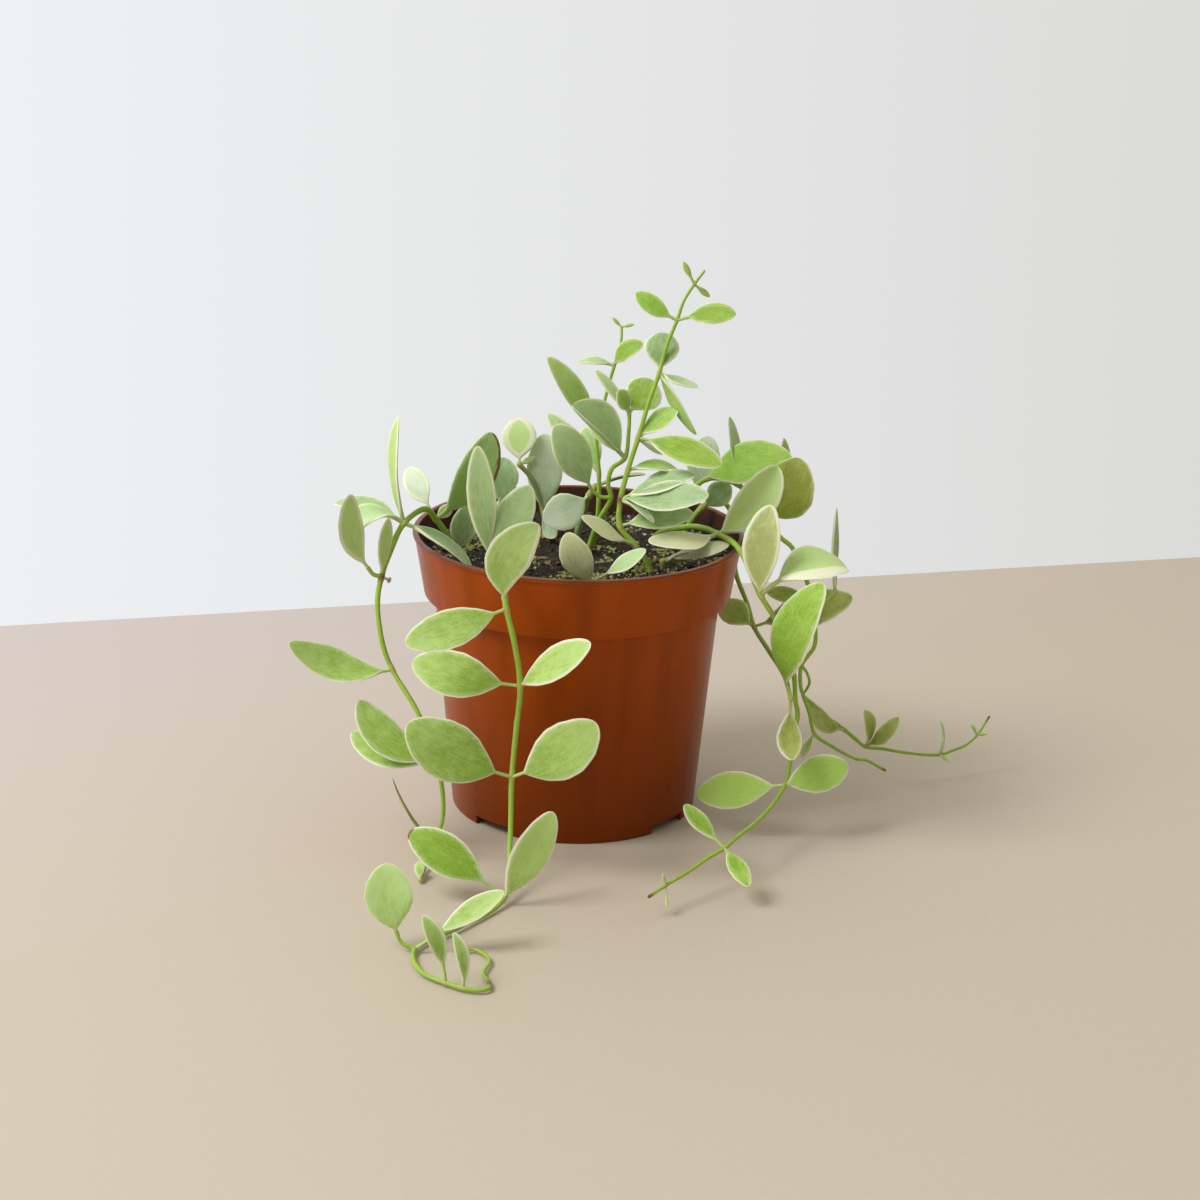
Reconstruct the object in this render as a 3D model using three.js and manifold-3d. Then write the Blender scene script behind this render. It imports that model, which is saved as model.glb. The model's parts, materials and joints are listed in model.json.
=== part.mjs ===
// A trailing dischidia in a round nursery pot: the pot, its soil, six rooted vines that climb or hang
// over the rim, and the shorter cuttings planted between them.
// Millimetres, +Z up, the origin on the surface the pot stands on, under the middle of the pot.
import * as THREE from "three";
import { mergeVertices } from "three/addons/utils/BufferGeometryUtils.js";
import Module from "manifold-3d";

const wasm = await Module();
wasm.setup();

// ---- The pot: a thin moulded cup, a wide band round its top, a foot ring cut by four notches

const POT_HEIGHT = 91.6;
const RIM_RADIUS = 52.5;
const LIP = 0.4; // the bead stands this far out of the rim
const LIP_DEPTH = 1.4; // from the top of the rim to the lower edge of the bead
const CORNER = 0.4; // taken off the moulded corners
const BAND_RADIUS = 49.3; // the band at its lower edge
const BAND_FOOT = 72.4;
const BAND_SHELF = 71.6;
const NECK_RADIUS = 45.8; // the body just under the band
const NECK_HEIGHT = 71;
const FOOT_RADIUS = 39.9;
const FOOT_BEVEL = 1;
const FOOT_WIDTH = 1.4; // the foot ring, across
const FLOOR_LIFT = 3.2; // the floor stands clear of the ground by this
const WALL = 1;
const PAD_RADIUS = 18; // the middle of the floor reaches down to the ground again
const PAD_SLOPE = 2;
const POT_SIDES = 48;

const NOTCH_WIDTH = 15;
const NOTCH_HEIGHT = 3;
const NOTCH_DEPTH = 5;
const NOTCH_COUNT = 4;
const FIRST_NOTCH = THREE.MathUtils.degToRad(-129);
const DRAIN_RADIUS = 3.5;
const DRAIN_RING = 28;
const DRAIN_COUNT = 6;

// ---- The soil: it fills the pot to just under the rim

const GAP = 0.42; // kept between the soil and its neighbours
const SOIL_EDGE = 82.8;
const SOIL_CROWN = 1.6; // how much higher the middle is
const SOIL_SIDES = 32;
const SOIL_RINGS = [0.93, 0.8, 0.65, 0.5, 0.34, 0.17];
const CLOD_HEIGHT = 0.7;
const CLOD_SPAN = 4.5;
const GRIT_HEIGHT = 0.4;
const GRIT_SPAN = 2.1;
const TOLERANCE = 0.01;

// ---- The plant

const STEM_SIDES = 6;
const STEPS_A_LENGTH = 2; // rings of a stem between two points of its route
const PETIOLE = 12; // a leaf's stalk in hundredths of its length, where its record gives none
const PETIOLE_RADIUS = 0.55;
const PETIOLE_LIMIT = 0.25; // of a narrow leaf's width
const BLADE_RINGS = [0.09, 0.26, 0.48, 0.72, 0.92];
const LEAFLET_RINGS = [0.3, 0.7];
const LEAFLET_WIDTH = 5; // up to this width a leaf is a bud leaf, with fewer rings
const WIDEST = 1.1; // above 1 moves the widest place of a blade towards its tip
const BASE_CURVE = 0.78; // a lower number makes the end of the outline blunter
const TIP_CURVE = 0.52;
const BLADE_THICKNESS = 0.13; // of the width
const TIP_THICKNESS = 0.35; // of the thickness of the blade
const THINNEST_BLADE = 0.8;
const THICKEST_BLADE = 1.7;
const FACING = new THREE.Vector3(0, -1, 0.33).normalize(); // an unturned blade's upper face

// Every stem as [node, [radius at the root, radius at the tip], route, leaves]. Stems of one name grow
// out of each other. A leaf is [the point of the route it grows from, its tip as an offset x, y, z,
// width, turn of the blade in degrees, then cup, bow, sway and stalk in hundredths]: the cup lifts
// the margins, the bow bends the blade towards its upper face, the sway bends it sideways, and the
// stalk is its share of the leaf's length.
const STEMS = [
  ["vine_front", [1.05, 0.5],
   [[-27, -25, 73], [-27, -25, 84], [-27, -31, 91], [-23, -48, 96], [-21, -57, 87],
    [-20.5, -58, 84], [-18, -59, 74], [-16, -59, 60], [-17, -60, 46], [-18, -63, 32],
    [-18, -71, 14], [-19, -86, 2.6], [-31, -104, 1.5], [-43, -119, 1.4], [-40, -133, 1.3],
    [-33, -139, 1.3], [-28, -142, 1.3], [-24, -143, 1.2], [-21, -142, 1.2], [-20.6, -139, 1.2],
    [-22.7, -133, 1.2], [-21.5, -124, 1.2], [-26, -118, 1.2], [-30, -119, 1.2]],
   [[2, -4, 3, 35, 9, 10, 10, 4, -2, 6], [2, 12, 6, 22, 12, 10, 10, 4, 0, 5],
    [4, 10, -6, 25, 13.5, 10, 15, 5, -16, 3], [5, -29.5, -8, -9, 12, 10, 15, 6, -2],
    [7, -33, 8, 4, 14, 5, 10, 3, -3, 16], [7, 21, -8, 17, 11, -30, 10, 4, 1, 4],
    [9, -31, -6, 19, 18, 0, 8, 3, -5, 15], [9, 25, -4, 20, 16.5, 0, 8, 3, 6, 13],
    [11, -29, 8, 17, 12.5, 10, 12, 4, 2, 23], [11, 14, 4, 26.5, 11.5, 15, 12, 4, 0, 4],
    [13, 25, 6, 16, 7, -30, 15, 2, 0, 30], [15, -6.5, 4, 18.5, 6.5, 40, 20, 4, 4, 25],
    [16, -3, 6, 14, 4.8, 40, 20, 4, 6, 10]]],
  ["vine_front", [0.7, 0.55],
   [[-43, -119, 1.4], [-47, -118, 3], [-48.5, -117, 6]],
   [[2, -2.5, 3.5, 19.5, 14, 0, 12, 4, -4, 3]]],
  ["vine_left", [1.05, 0.6],
   [[-39, -6, 73], [-39, -6, 84], [-42, -8, 92], [-45, -10, 97], [-48, -16, 102],
    [-54, -22, 99], [-58, -30, 91], [-60, -33, 85], [-61, -36, 78], [-59, -40, 65],
    [-56, -42, 58], [-47, -50, 46], [-41.5, -54, 32], [-39.5, -55, 23], [-39.5, -56, 14],
    [-42, -58, 7], [-44, -62, 2], [-45, -72, 1.2]],
   [[1, 4, 3, 16, 9, 20, 10, 4, 0], [3, 17, 10, 26, 13, 25, 12, 8, 6],
    [3, -9.7, 12, 13.2, 8, 0, 10, 5, 0, 28], [3, 5, 2, 4, 4, 0, 10, 0, 0],
    [5, -2, 4, 33, 11, -71, 10, 5, -1.5, 6], [5, -23, 14, 2, 10, 55, 15, 8, 0],
    [5, -16, -8, -3, 12, 60, 25, 18, 12], [5, 21, 2, -14.5, 11, -70, 10, 4, -3],
    [7, 2, 3, 18, 6, 50, 12, 5, -6], [7, 3, -1, -1, 2, 0, 0, 0, 0, 60],
    [10, -31, -6, 10, 12, 35, 45, -5, -10, 8], [12, -24, 6, 18, 12, 30, 12, 4, -15],
    [12, -27, 12, 5, 11, 30, 12, 4, -9], [15, -13, 2, 21, 8, -85, 10, 6, 0],
    [17, -1, 5, 4, 3, 0, 10, 0, 0]]],
  ["vine_left", [0.7, 0.6],
   [[-60, -33, 85], [-62.5, -34, 86], [-64, -34, 88]],
   [[2, -5, -2, 24, 10.5, 45, 12, 4, -14, 8]]],
  ["vine_tall", [1.1, 0.4],
   [[23, -17, 73], [23, -17, 84], [18, -17, 92], [13, -16, 98], [13, -14, 106], [15, -12, 115],
    [18, -10, 125], [21, -8, 136], [24, -6, 145], [26, -4, 153], [29, -3, 161], [31, -2, 167],
    [34, -1, 172], [37, 0, 176]],
   [[12, -3.7, 0, 7, 2, 0, 0, 0, 0, 30], [12, 5, 1, -4, 1.9, 0, 0, 0, 0, 20],
    [10, -13, 2, 8, 6.8, 20, 12, 4, -5, 16], [10, 18, -3, 3, 7.5, -20, 12, 4, -3, 20],
    [8, 0.5, 8, 11, 11, 0, 10, 4, 2], [8, 12, -3, -3.6, 8, -65, 12, -4, 0],
    [8, 12, -4, -18.5, 8, 70, 12, 6, -4, 4], [6, 12, 3, 9, 8, -35, 12, 4, 0],
    [6, 26, -8, -6, 10, -25, 12, 5, 0], [6, 8, 14, -7, 8, 110, 12, 5, 0],
    [5, 16, 4, -1, 8, -60, 15, 10, 0], [4, 23, -2, 9, 10, -50, 20, 4, 0],
    [4, 27, -10, 5, 11, -30, 12, 5, 2, 10], [3, 23, 2, 4, 9, -30, 12, 5, 0],
    [4, 10, -11, -4, 7, -75, 15, 5, 0], [2, -17, -7, 11, 9, 58, 12, 5, -6, 20]]],
  ["vine_slim", [0.85, 0.4],
   [[5, 9, 73], [5, 9, 84], [6, 4, 96], [6, 5, 109], [5, 7, 121], [7, 9, 131], [10, 11, 143],
    [12, 12, 151], [12, 13, 155]],
   [[8, -3, 0, 3, 1.2, 0, 0, 0, 0], [8, 4, 0, 1, 1.2, 0, 0, 0, 0],
    [6, 9, -3, 7.8, 7, -30, 12, 6, -9, 6], [6, -12, 2, 0, 7, 65, 12, 8, 0],
    [4, -16, -4, 26, 8, 25, 15, 4, 2, 6], [3, -5, 8, 13, 7, 0, 10, 4, 0],
    [3, -17, 9, 17, 7, 20, 10, 3, 0]]],
  ["vine_middle", [1, 0.55],
   [[3, -3, 73], [3, -3, 84], [4, -4, 89], [6, -6, 96], [10, -8, 105], [9, -8, 109],
    [10, -7, 114], [14, -5, 117], [15, -4, 125], [15, -3, 131], [14, -2, 135]],
   [[7, -13, 4, 13, 7, 25, 12, 5, 0], [7, -17, -6, 18, 12.5, 45, 95, 2, 0],
    [9, -11, 3, 13, 4.2, 30, 12, 3, 0], [9, 7.5, 5, 9.5, 12, 0, 10, 4, 0],
    [9, -3.5, -2, 8, 6, 30, 10, 3, 0]]],
  ["vine_middle", [0.7, 0.6],
   [[10, -8, 105], [7, -8, 105], [4, -8, 107]],
   [[2, -12, -4, 22, 12, 15, 10, 5, 0]]],
  ["cutting_centre", [1.2, 1],
   [[-1, 14, 73], [-1, 14, 84], [1, 14, 92], [3, 11, 100], [5, 11, 103]],
   [[3, -14.5, -7.5, -6.5, 12, 0, 10, 5, -5], [4, 16, -2, 5, 9, -85, 10, 6, 0]]],
  ["cutting_back_left", [1.1, 0.8],
   [[-11, 21, 73], [-11, 21, 84], [-12, 23, 91], [-16, 22, 102], [-20, 21, 107]],
   [[2, 0, 4, 25, 12, 10, 10, 3, 0, 3], [2, 5, -18, -3, 8, 40, 10, 4, 0],
    [4, -0.5, 6, 14, 11.5, 0, 8, 4, 0], [4, 5, 2, 2, 2, 0, 0, 0, 0]]],
  ["cutting_left", [1.1, 0.8],
   [[-25, 8, 73], [-25, 8, 84], [-26, 10, 91], [-26, 10, 96]],
   [[3, 1, 5, 15, 11, 10, 10, 4, 0], [2, 4, 2, 7, 7, 0, 10, 4, 0]]],
  ["cutting_front", [1.1, 0.9],
   [[5.5, -32, 73], [5.5, -32, 81], [4.5, -32, 84.5]],
   [[2, -7.5, -2, 16.5, 10, -15, 10, 5, -3, 3], [2, 16.5, 2, 10.5, 7.5, -50, 10, 4, 5, 28]]],
  ["cutting_right", [1.1, 0.9],
   [[27, -12, 73], [27, -12, 82], [27, -13, 86]],
   [[2, 20, -8, 8, 9, 120, 12, 4, -8], [2, 11, -2, 4, 6, 60, 10, 3, 0]]],
  ["vine_right", [1.05, 0.5],
   [[25, 19, 73], [25, 19, 84], [34, 8, 91], [39, -2, 94], [44, -12, 95], [50, -24, 94],
    [57, -30, 81], [62, -30, 73], [66, -28, 63], [69, -25, 53], [70, -23, 44], [71, -22, 39],
    [70, -24, 32], [69, -28, 26], [67, -35, 20], [61, -45, 15], [51, -63, 14], [47, -68, 12.5],
    [42, -72, 11], [36, -79, 9.5], [29, -86, 8], [24, -92, 7]],
   [[4, 18, 6, 21, 13.5, 20, 40, 5, 3, 5], [4, -22, -14, 1, 13, 60, 10, 4, -8],
    [4, 11, 10, -2, 8, -75, 10, 4, 0], [6, 2.3, 4, 28, 12, -20, 15, 4, -4, 4],
    [6, 27, 8, 7, 17.5, -50, 20, 18, 0, 22], [14, -27, 10, -8, 12, 10, 10, 4, 0],
    [14, 20.4, 8, 4, 12, -10, 10, 2, 0, 3], [17, -12, 12, 9, 6, 30, 12, 4, -4, 20],
    [17, 6.7, -16.5, -5, 6, -20, 12, 4, 0, 14], [20, -1, 0, 4, 1.2, 0, 0, 0, 0],
    [20, 0.5, -5, -4.5, 1.2, 0, 0, 0, 0, 50]]],
  ["vine_right_back", [0.95, 0.7],
   [[34, 20, 73], [34, 20, 84], [40, 24, 93], [46, 27, 95], [51, 29, 88], [52, 28, 78],
    [52, 26, 71], [56, 18, 62], [58, 10, 57], [62, -4, 54], [66, -17, 51], [67, -25, 50],
    [68, -30, 47]],
   [[2, 9, 2, 8, 9, 20, 10, 4, 0], [8, -10.6, 8, 6, 10, 20, 10, 4, -4],
    [8, 31, -6, 13, 12, -10, 10, 5, 0], [11, 8.5, -15, 38.5, 15, -35, 12, 10, -4, 4],
    [12, 0, -14, -15, 8, 0, 20, -24, 2, 14]]],
  ["vine_far_right", [0.95, 0.5],
   [[30, 26, 73], [30, 26, 84], [35, 24, 96], [41, 23, 103], [51, 18, 103], [58, 14, 96],
    [65, 10, 88], [69, 8, 85], [74, 4, 75], [76, 2, 69], [77, 0, 62], [77, -2, 55],
    [73, -4, 49], [73, -5, 42], [74, -6, 39], [76, -7, 34], [78, -8, 27], [84, -6, 22],
    [93, -2, 16], [96, 0, 15], [103, 4, 10]],
   [[3, 27, -10, 10, 14.5, -20, 10, 6, -5, 5], [4, -3, 10, 20, 8, 60, 10, 3, 0],
    [5, 11.3, -9, 20, 18.5, -10, 10, 6, 16, 4], [5, 8, 11, 21, 8, 50, 10, 14, 0],
    [9, -15.5, -8, 5, 6.2, 30, 10, 4, 0], [16, -4, -4, -7, 5, 60, 10, 0, 0]]],
  ["vine_far_right", [0.65, 0.55],
   [[76, 2, 69], [80, 0.5, 69.5], [83, 0, 72.5]],
   [[2, -1, 2, 28, 10, 75, 10, 3, -5, 4]]],
  ["vine_far_right", [0.5, 0.45],
   [[73, -4, 49], [75, -3, 46], [76, -2, 42], [74, -2, 38]],
   []],
  ["vine_far_right", [0.75, 0.4],
   [[74, -6, 39], [78, 3, 33], [84, 12, 25], [90, 14, 20], [94, 13, 17], [97, 12, 15],
    [103, 13, 14], [111, 15, 12], [123, 19, 10], [128, 21, 11], [132, 23, 12], [136, 25, 15],
    [140, 27, 21]],
   [[3, -14, -14, 13.5, 8.5, 35, 10, -2, -6], [5, -1.6, -4, 14.5, 6.5, 50, 10, 10, 4],
    [5, 10, -6, 13, 7, -45, 10, 3, 8], [8, -1, -2, 13, 4, 75, 0, 10, 0],
    [8, 3, -6, 0, 1.6, 0, 0, 0, 0], [11, -2, 0, 4, 1.2, 0, 0, 0, 0],
    [11, 3, -3, 2, 1.2, 0, 0, 0, 0]]],
  ["cutting_back_right", [1.1, 0.9],
   [[28, 33, 76], [28, 33, 84], [33, 34, 92], [38, 34, 95]],
   [[3, 4, 3, 19, 11, 0, 10, 4, 0]]],
];

// ---- Materials

const finish = (color, roughness) => new THREE.MeshStandardMaterial({ color, roughness, metalness: 0 });
const TERRACOTTA_PLASTIC = finish(0xa8501c, 0.35);
const POTTING_SOIL = finish(0x33302a, 0.95);
const FRESH_LEAF = finish(0x93b457, 0.5);
const GREY_LEAF = finish(0x8fa382, 0.55);

// ---- Solids

// A closed solid out of a geometry, with shared corners merged and collapsed triangles dropped.
function toSolid(geometry) {
  const bare = geometry.clone();
  bare.deleteAttribute("normal");
  bare.deleteAttribute("uv");
  const merged = mergeVertices(bare, 1e-4);
  const corners = merged.index.array;
  const triangles = [];
  for (let i = 0; i < corners.length; i += 3) {
    const [a, b, c] = [corners[i], corners[i + 1], corners[i + 2]];
    if (a !== b && b !== c && c !== a) triangles.push(a, b, c);
  }
  const vertProperties = new Float32Array(merged.attributes.position.array);
  const triVerts = new Uint32Array(triangles);
  return new wasm.Manifold(new wasm.Mesh({ numProp: 3, vertProperties, triVerts }));
}

// A named mesh out of a solid.
function toMesh(name, solid, material) {
  const { vertProperties, triVerts } = solid.getMesh();
  const geometry = new THREE.BufferGeometry();
  geometry.setAttribute("position", new THREE.BufferAttribute(vertProperties, 3));
  geometry.setIndex(new THREE.BufferAttribute(triVerts, 1));
  geometry.computeVertexNormals();
  const mesh = new THREE.Mesh(geometry, material);
  mesh.name = name;
  return mesh;
}

// A skin over rings of points that all run the same way round; a ring of one point closes an end,
// and a wider ring at an end is closed flat.
function loft(rings) {
  const points = rings.flat();
  const triangles = [];
  const quad = (a, b, c, d) => triangles.push(a, b, c, a, c, d);
  let start = 0;
  for (let r = 0; r + 1 < rings.length; r += 1) {
    const here = rings[r].length;
    const there = rings[r + 1].length;
    const next = start + here;
    for (let k = 0; k < here; k += 1) {
      const l = (k + 1) % here;
      if (there === 1) triangles.push(start + k, start + l, next);
      else quad(start + k, start + l, next + l, next + k);
    }
    start = next;
  }
  for (let k = 1; k + 1 < rings[0].length; k += 1) triangles.push(0, k + 1, k);
  for (let k = 1; k + 1 < rings.at(-1).length; k += 1) triangles.push(start, start + k, start + k + 1);
  const geometry = new THREE.BufferGeometry().setFromPoints(points);
  geometry.setIndex(triangles);
  return geometry;
}

const along = (from, to, share) => from + (to - from) * share;
const revolve = (profile, sides) =>
  new THREE.LatheGeometry(profile.map(([r, z]) => new THREE.Vector2(r, z)), sides).rotateX(Math.PI / 2);

// ---- Pot

// The inside radius at a height, on the body and on the band.
function potInside(z) {
  const body = along(FOOT_RADIUS, NECK_RADIUS, (z - FOOT_BEVEL) / (NECK_HEIGHT - FOOT_BEVEL));
  const band = along(BAND_RADIUS, RIM_RADIUS, (z - BAND_FOOT) / (POT_HEIGHT - BAND_FOOT));
  return (z < BAND_FOOT ? body : band) - WALL;
}

function makePot() {
  const footInside = FOOT_RADIUS - FOOT_WIDTH;
  const floorTop = FLOOR_LIFT + WALL;
  const shelfTop = BAND_SHELF + WALL;
  const beadTop = POT_HEIGHT - LIP_DEPTH + CORNER;
  const profile = [
    [0, 0],
    [PAD_RADIUS, 0],
    [PAD_RADIUS + PAD_SLOPE, FLOOR_LIFT],
    [footInside, FLOOR_LIFT],
    [footInside, 0],
    [FOOT_RADIUS - CORNER, 0],
    [FOOT_RADIUS, FOOT_BEVEL],
    [NECK_RADIUS, NECK_HEIGHT],
    [BAND_RADIUS - CORNER, BAND_SHELF],
    [BAND_RADIUS, BAND_FOOT],
    [RIM_RADIUS - CORNER / 2, POT_HEIGHT - LIP_DEPTH],
    [RIM_RADIUS + LIP, beadTop],
    [RIM_RADIUS + LIP, POT_HEIGHT - CORNER],
    [RIM_RADIUS - CORNER / 2, POT_HEIGHT],
    [RIM_RADIUS - WALL - CORNER / 2, POT_HEIGHT - CORNER / 2],
    [potInside(beadTop), beadTop],
    [potInside(shelfTop + CORNER), shelfTop + CORNER],
    [NECK_RADIUS - WALL, BAND_SHELF + CORNER],
    [potInside(floorTop), floorTop],
    [PAD_RADIUS + PAD_SLOPE, floorTop],
    [PAD_RADIUS - WALL, WALL],
    [0, WALL],
  ];
  let pot = toSolid(revolve(profile, POT_SIDES));

  for (let i = 0; i < NOTCH_COUNT; i += 1) {
    const notch = new THREE.BoxGeometry(NOTCH_DEPTH, NOTCH_WIDTH, 2 * NOTCH_HEIGHT);
    notch.translate(FOOT_RADIUS - FOOT_WIDTH / 2, 0, 0);
    notch.rotateZ(FIRST_NOTCH + (i * 2 * Math.PI) / NOTCH_COUNT);
    pot = pot.subtract(toSolid(notch));
  }
  for (let i = 0; i < DRAIN_COUNT; i += 1) {
    const hole = new THREE.CylinderGeometry(DRAIN_RADIUS, DRAIN_RADIUS, 4 * WALL, 12);
    hole.rotateX(Math.PI / 2);
    hole.translate(DRAIN_RING, 0, FLOOR_LIFT + WALL / 2);
    hole.rotateZ(((i + 0.5) * 2 * Math.PI) / DRAIN_COUNT);
    pot = pot.subtract(toSolid(hole));
  }
  return pot;
}

// ---- Soil

// The height of the clods over the smooth crown of the soil.
function clods(x, y) {
  const clod = Math.sin(x / CLOD_SPAN + 1) * Math.cos(y / CLOD_SPAN - 0.6);
  const grit = Math.sin(x / GRIT_SPAN) * Math.sin(y / GRIT_SPAN + 2);
  return CLOD_HEIGHT * clod + GRIT_HEIGHT * grit;
}

function makeSoil() {
  const floor = FLOOR_LIFT + WALL + GAP;
  const shelf = BAND_SHELF + WALL + CORNER + GAP;
  const edge = potInside(SOIL_EDGE) - GAP;
  const profile = [
    [0, floor],
    [potInside(floor) - GAP, floor],
    [NECK_RADIUS - WALL - GAP, BAND_SHELF + CORNER + GAP],
    [potInside(shelf) - GAP, shelf],
    [edge, SOIL_EDGE],
    ...SOIL_RINGS.map((share) => [edge * share, along(SOIL_EDGE, SOIL_EDGE + SOIL_CROWN, 1 - share)]),
    [0, SOIL_EDGE + SOIL_CROWN],
  ];
  const geometry = revolve(profile, SOIL_SIDES);
  const places = geometry.attributes.position;
  for (let i = 0; i < places.count; i += 1) {
    if (places.getZ(i) > SOIL_EDGE + TOLERANCE) {
      places.setZ(i, places.getZ(i) + clods(places.getX(i), places.getY(i)));
    }
  }
  return toSolid(geometry);
}

// ---- Stems and leaves

// A round tapering stem along its route; grow widens it all round, for the hole it stands in.
function makeStem(radii, route, grow) {
  const curve = new THREE.CatmullRomCurve3(route.map((p) => new THREE.Vector3(...p)));
  const steps = (route.length - 1) * STEPS_A_LENGTH;
  let side = new THREE.Vector3(1, 0, 0);
  const rings = [];
  for (let i = 0; i <= steps; i += 1) {
    const t = i / steps;
    const centre = curve.getPoint(t);
    const forward = curve.getTangent(t);
    side = side.addScaledVector(forward, -side.dot(forward)).normalize();
    const up = forward.clone().cross(side);
    const radius = along(radii[0], radii[1], t) + grow;
    if (i === 0) centre.addScaledVector(forward, -grow);
    const ring = [];
    for (let k = 0; k < STEM_SIDES; k += 1) {
      const angle = (k * 2 * Math.PI) / STEM_SIDES;
      ring.push(
        centre
          .clone()
          .addScaledVector(side, radius * Math.cos(angle))
          .addScaledVector(up, radius * Math.sin(angle)),
      );
    }
    rings.push(ring);
  }
  return toSolid(loft(rings));
}

// Half of a blade's width, as a share of its widest, at a share of the way from petiole to tip.
const halfWidth = (share) => Math.sin(Math.PI * share ** WIDEST) ** along(BASE_CURVE, TIP_CURVE, share);

// A leaf from the stem's axis to its tip: a short stalk, then a blade with a lens-shaped section.
function makeLeaf(base, [, x, y, z, width, turn, cup, bow, sway, petiole = PETIOLE], grow) {
  const reach = new THREE.Vector3(x, y, z);
  const axis = reach.clone().normalize();
  const upright = FACING.clone().addScaledVector(axis, -FACING.dot(axis)).normalize();
  const side = axis.clone().cross(upright);
  const angle = THREE.MathUtils.degToRad(turn);
  const face = upright.clone().multiplyScalar(Math.cos(angle)).addScaledVector(side, Math.sin(angle));
  const arc = face.clone().multiplyScalar(bow).addScaledVector(side, sway);
  arc.multiplyScalar(reach.length() / 100);

  const thickness = THREE.MathUtils.clamp(width * BLADE_THICKNESS, THINNEST_BLADE, THICKEST_BLADE);
  const stalk = Math.min(PETIOLE_RADIUS, PETIOLE_LIMIT * width);
  const start = petiole / 100;
  const bladeRings = width > LEAFLET_WIDTH ? BLADE_RINGS : LEAFLET_RINGS;
  const stations = [0, start, ...bladeRings.map((share) => along(start, 1, share))];
  const rings = stations.map((t) => {
    const share = Math.max(0, (t - start) / (1 - start));
    const centre = base.clone().addScaledVector(reach, t).addScaledVector(arc, 4 * t * (1 - t));
    const forward = reach.clone().addScaledVector(arc, 4 * (1 - 2 * t)).normalize();
    const up = face.clone().addScaledVector(forward, -face.dot(forward)).normalize();
    const across = forward.clone().cross(up);
    const half = Math.max((halfWidth(share) * width) / 2, stalk * (1 - share)) + grow;
    const lift = (cup / 100) * half;
    const deep = along(Math.max(stalk, thickness / 2), TIP_THICKNESS * thickness, share) + grow;
    const at = (a, b) => centre.clone().addScaledVector(across, a).addScaledVector(up, b);
    return [at(-half, lift), at(0, deep), at(half, lift), at(0, -deep)];
  });
  const tip = base.clone().add(reach).addScaledVector(axis, grow);
  return toSolid(loft([...rings, [tip]]));
}

// All the stems and leaves that share a name, as one solid.
function makePlant(name, grow = 0) {
  let plant = null;
  for (const [node, radii, route, leaves] of STEMS) {
    if (node !== name) continue;
    const stem = makeStem(radii, route, grow);
    plant = plant ? plant.add(stem) : stem;
    for (const leaf of leaves) {
      plant = plant.add(makeLeaf(new THREE.Vector3(...route[leaf[0]]), leaf, grow));
    }
  }
  return plant;
}

// ---- Assembly

const group = new THREE.Group();
group.add(toMesh("pot", makePot(), TERRACOTTA_PLASTIC));

const names = [...new Set(STEMS.map(([name]) => name))];
let soil = makeSoil();
for (const name of names) soil = soil.subtract(makePlant(name, GAP));
group.add(toMesh("soil", soil, POTTING_SOIL));

for (const name of names) {
  group.add(toMesh(name, makePlant(name), name.startsWith("vine") ? FRESH_LEAF : GREY_LEAF));
}

export default group;
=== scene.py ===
# %% [markdown]
# # A trailing dischidia in its nursery pot
# Dischidia is a small climbing plant with fleshy, cream-edged leaves in pairs along thin green stems.
# This lesson dresses a measured model of one: a moulded plastic pot, its potting soil, eight vines that
# hang over the rim or climb, and the short cuttings between them. The measured model is loaded first.
# It fixes every size, and each piece made here takes the place of one of its parts.

import json
import math

import bmesh
import bpy
import numpy as np
from mathutils import Matrix, Vector, noise

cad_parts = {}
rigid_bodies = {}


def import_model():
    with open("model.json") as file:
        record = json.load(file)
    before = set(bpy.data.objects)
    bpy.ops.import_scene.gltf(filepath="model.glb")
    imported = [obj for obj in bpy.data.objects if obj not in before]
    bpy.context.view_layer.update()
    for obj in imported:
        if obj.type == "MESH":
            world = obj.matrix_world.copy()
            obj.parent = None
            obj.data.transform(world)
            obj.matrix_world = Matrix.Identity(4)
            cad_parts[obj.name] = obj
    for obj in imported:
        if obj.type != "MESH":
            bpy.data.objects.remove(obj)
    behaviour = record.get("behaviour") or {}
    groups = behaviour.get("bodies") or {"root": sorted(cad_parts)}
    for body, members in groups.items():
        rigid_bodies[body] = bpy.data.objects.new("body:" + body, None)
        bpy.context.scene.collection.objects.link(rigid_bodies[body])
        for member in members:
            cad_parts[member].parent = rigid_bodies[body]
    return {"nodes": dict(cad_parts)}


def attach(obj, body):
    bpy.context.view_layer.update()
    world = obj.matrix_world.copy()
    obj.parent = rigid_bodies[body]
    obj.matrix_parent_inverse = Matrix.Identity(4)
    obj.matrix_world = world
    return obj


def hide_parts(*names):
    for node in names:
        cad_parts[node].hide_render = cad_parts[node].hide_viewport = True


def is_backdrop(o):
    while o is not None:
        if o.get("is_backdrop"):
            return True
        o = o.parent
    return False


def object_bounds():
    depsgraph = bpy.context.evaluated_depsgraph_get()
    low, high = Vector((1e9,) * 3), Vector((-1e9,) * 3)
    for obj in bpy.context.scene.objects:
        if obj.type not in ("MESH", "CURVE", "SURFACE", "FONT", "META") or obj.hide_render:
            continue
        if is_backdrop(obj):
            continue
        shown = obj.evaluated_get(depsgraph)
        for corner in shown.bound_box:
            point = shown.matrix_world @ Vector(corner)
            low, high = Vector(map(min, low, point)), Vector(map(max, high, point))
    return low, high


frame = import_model()
measured_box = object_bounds()
MM = 0.001  # the model is in metres, and the sizes below are in millimetres
print("parts of the measured model:", ", ".join(sorted(frame["nodes"])))

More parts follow.
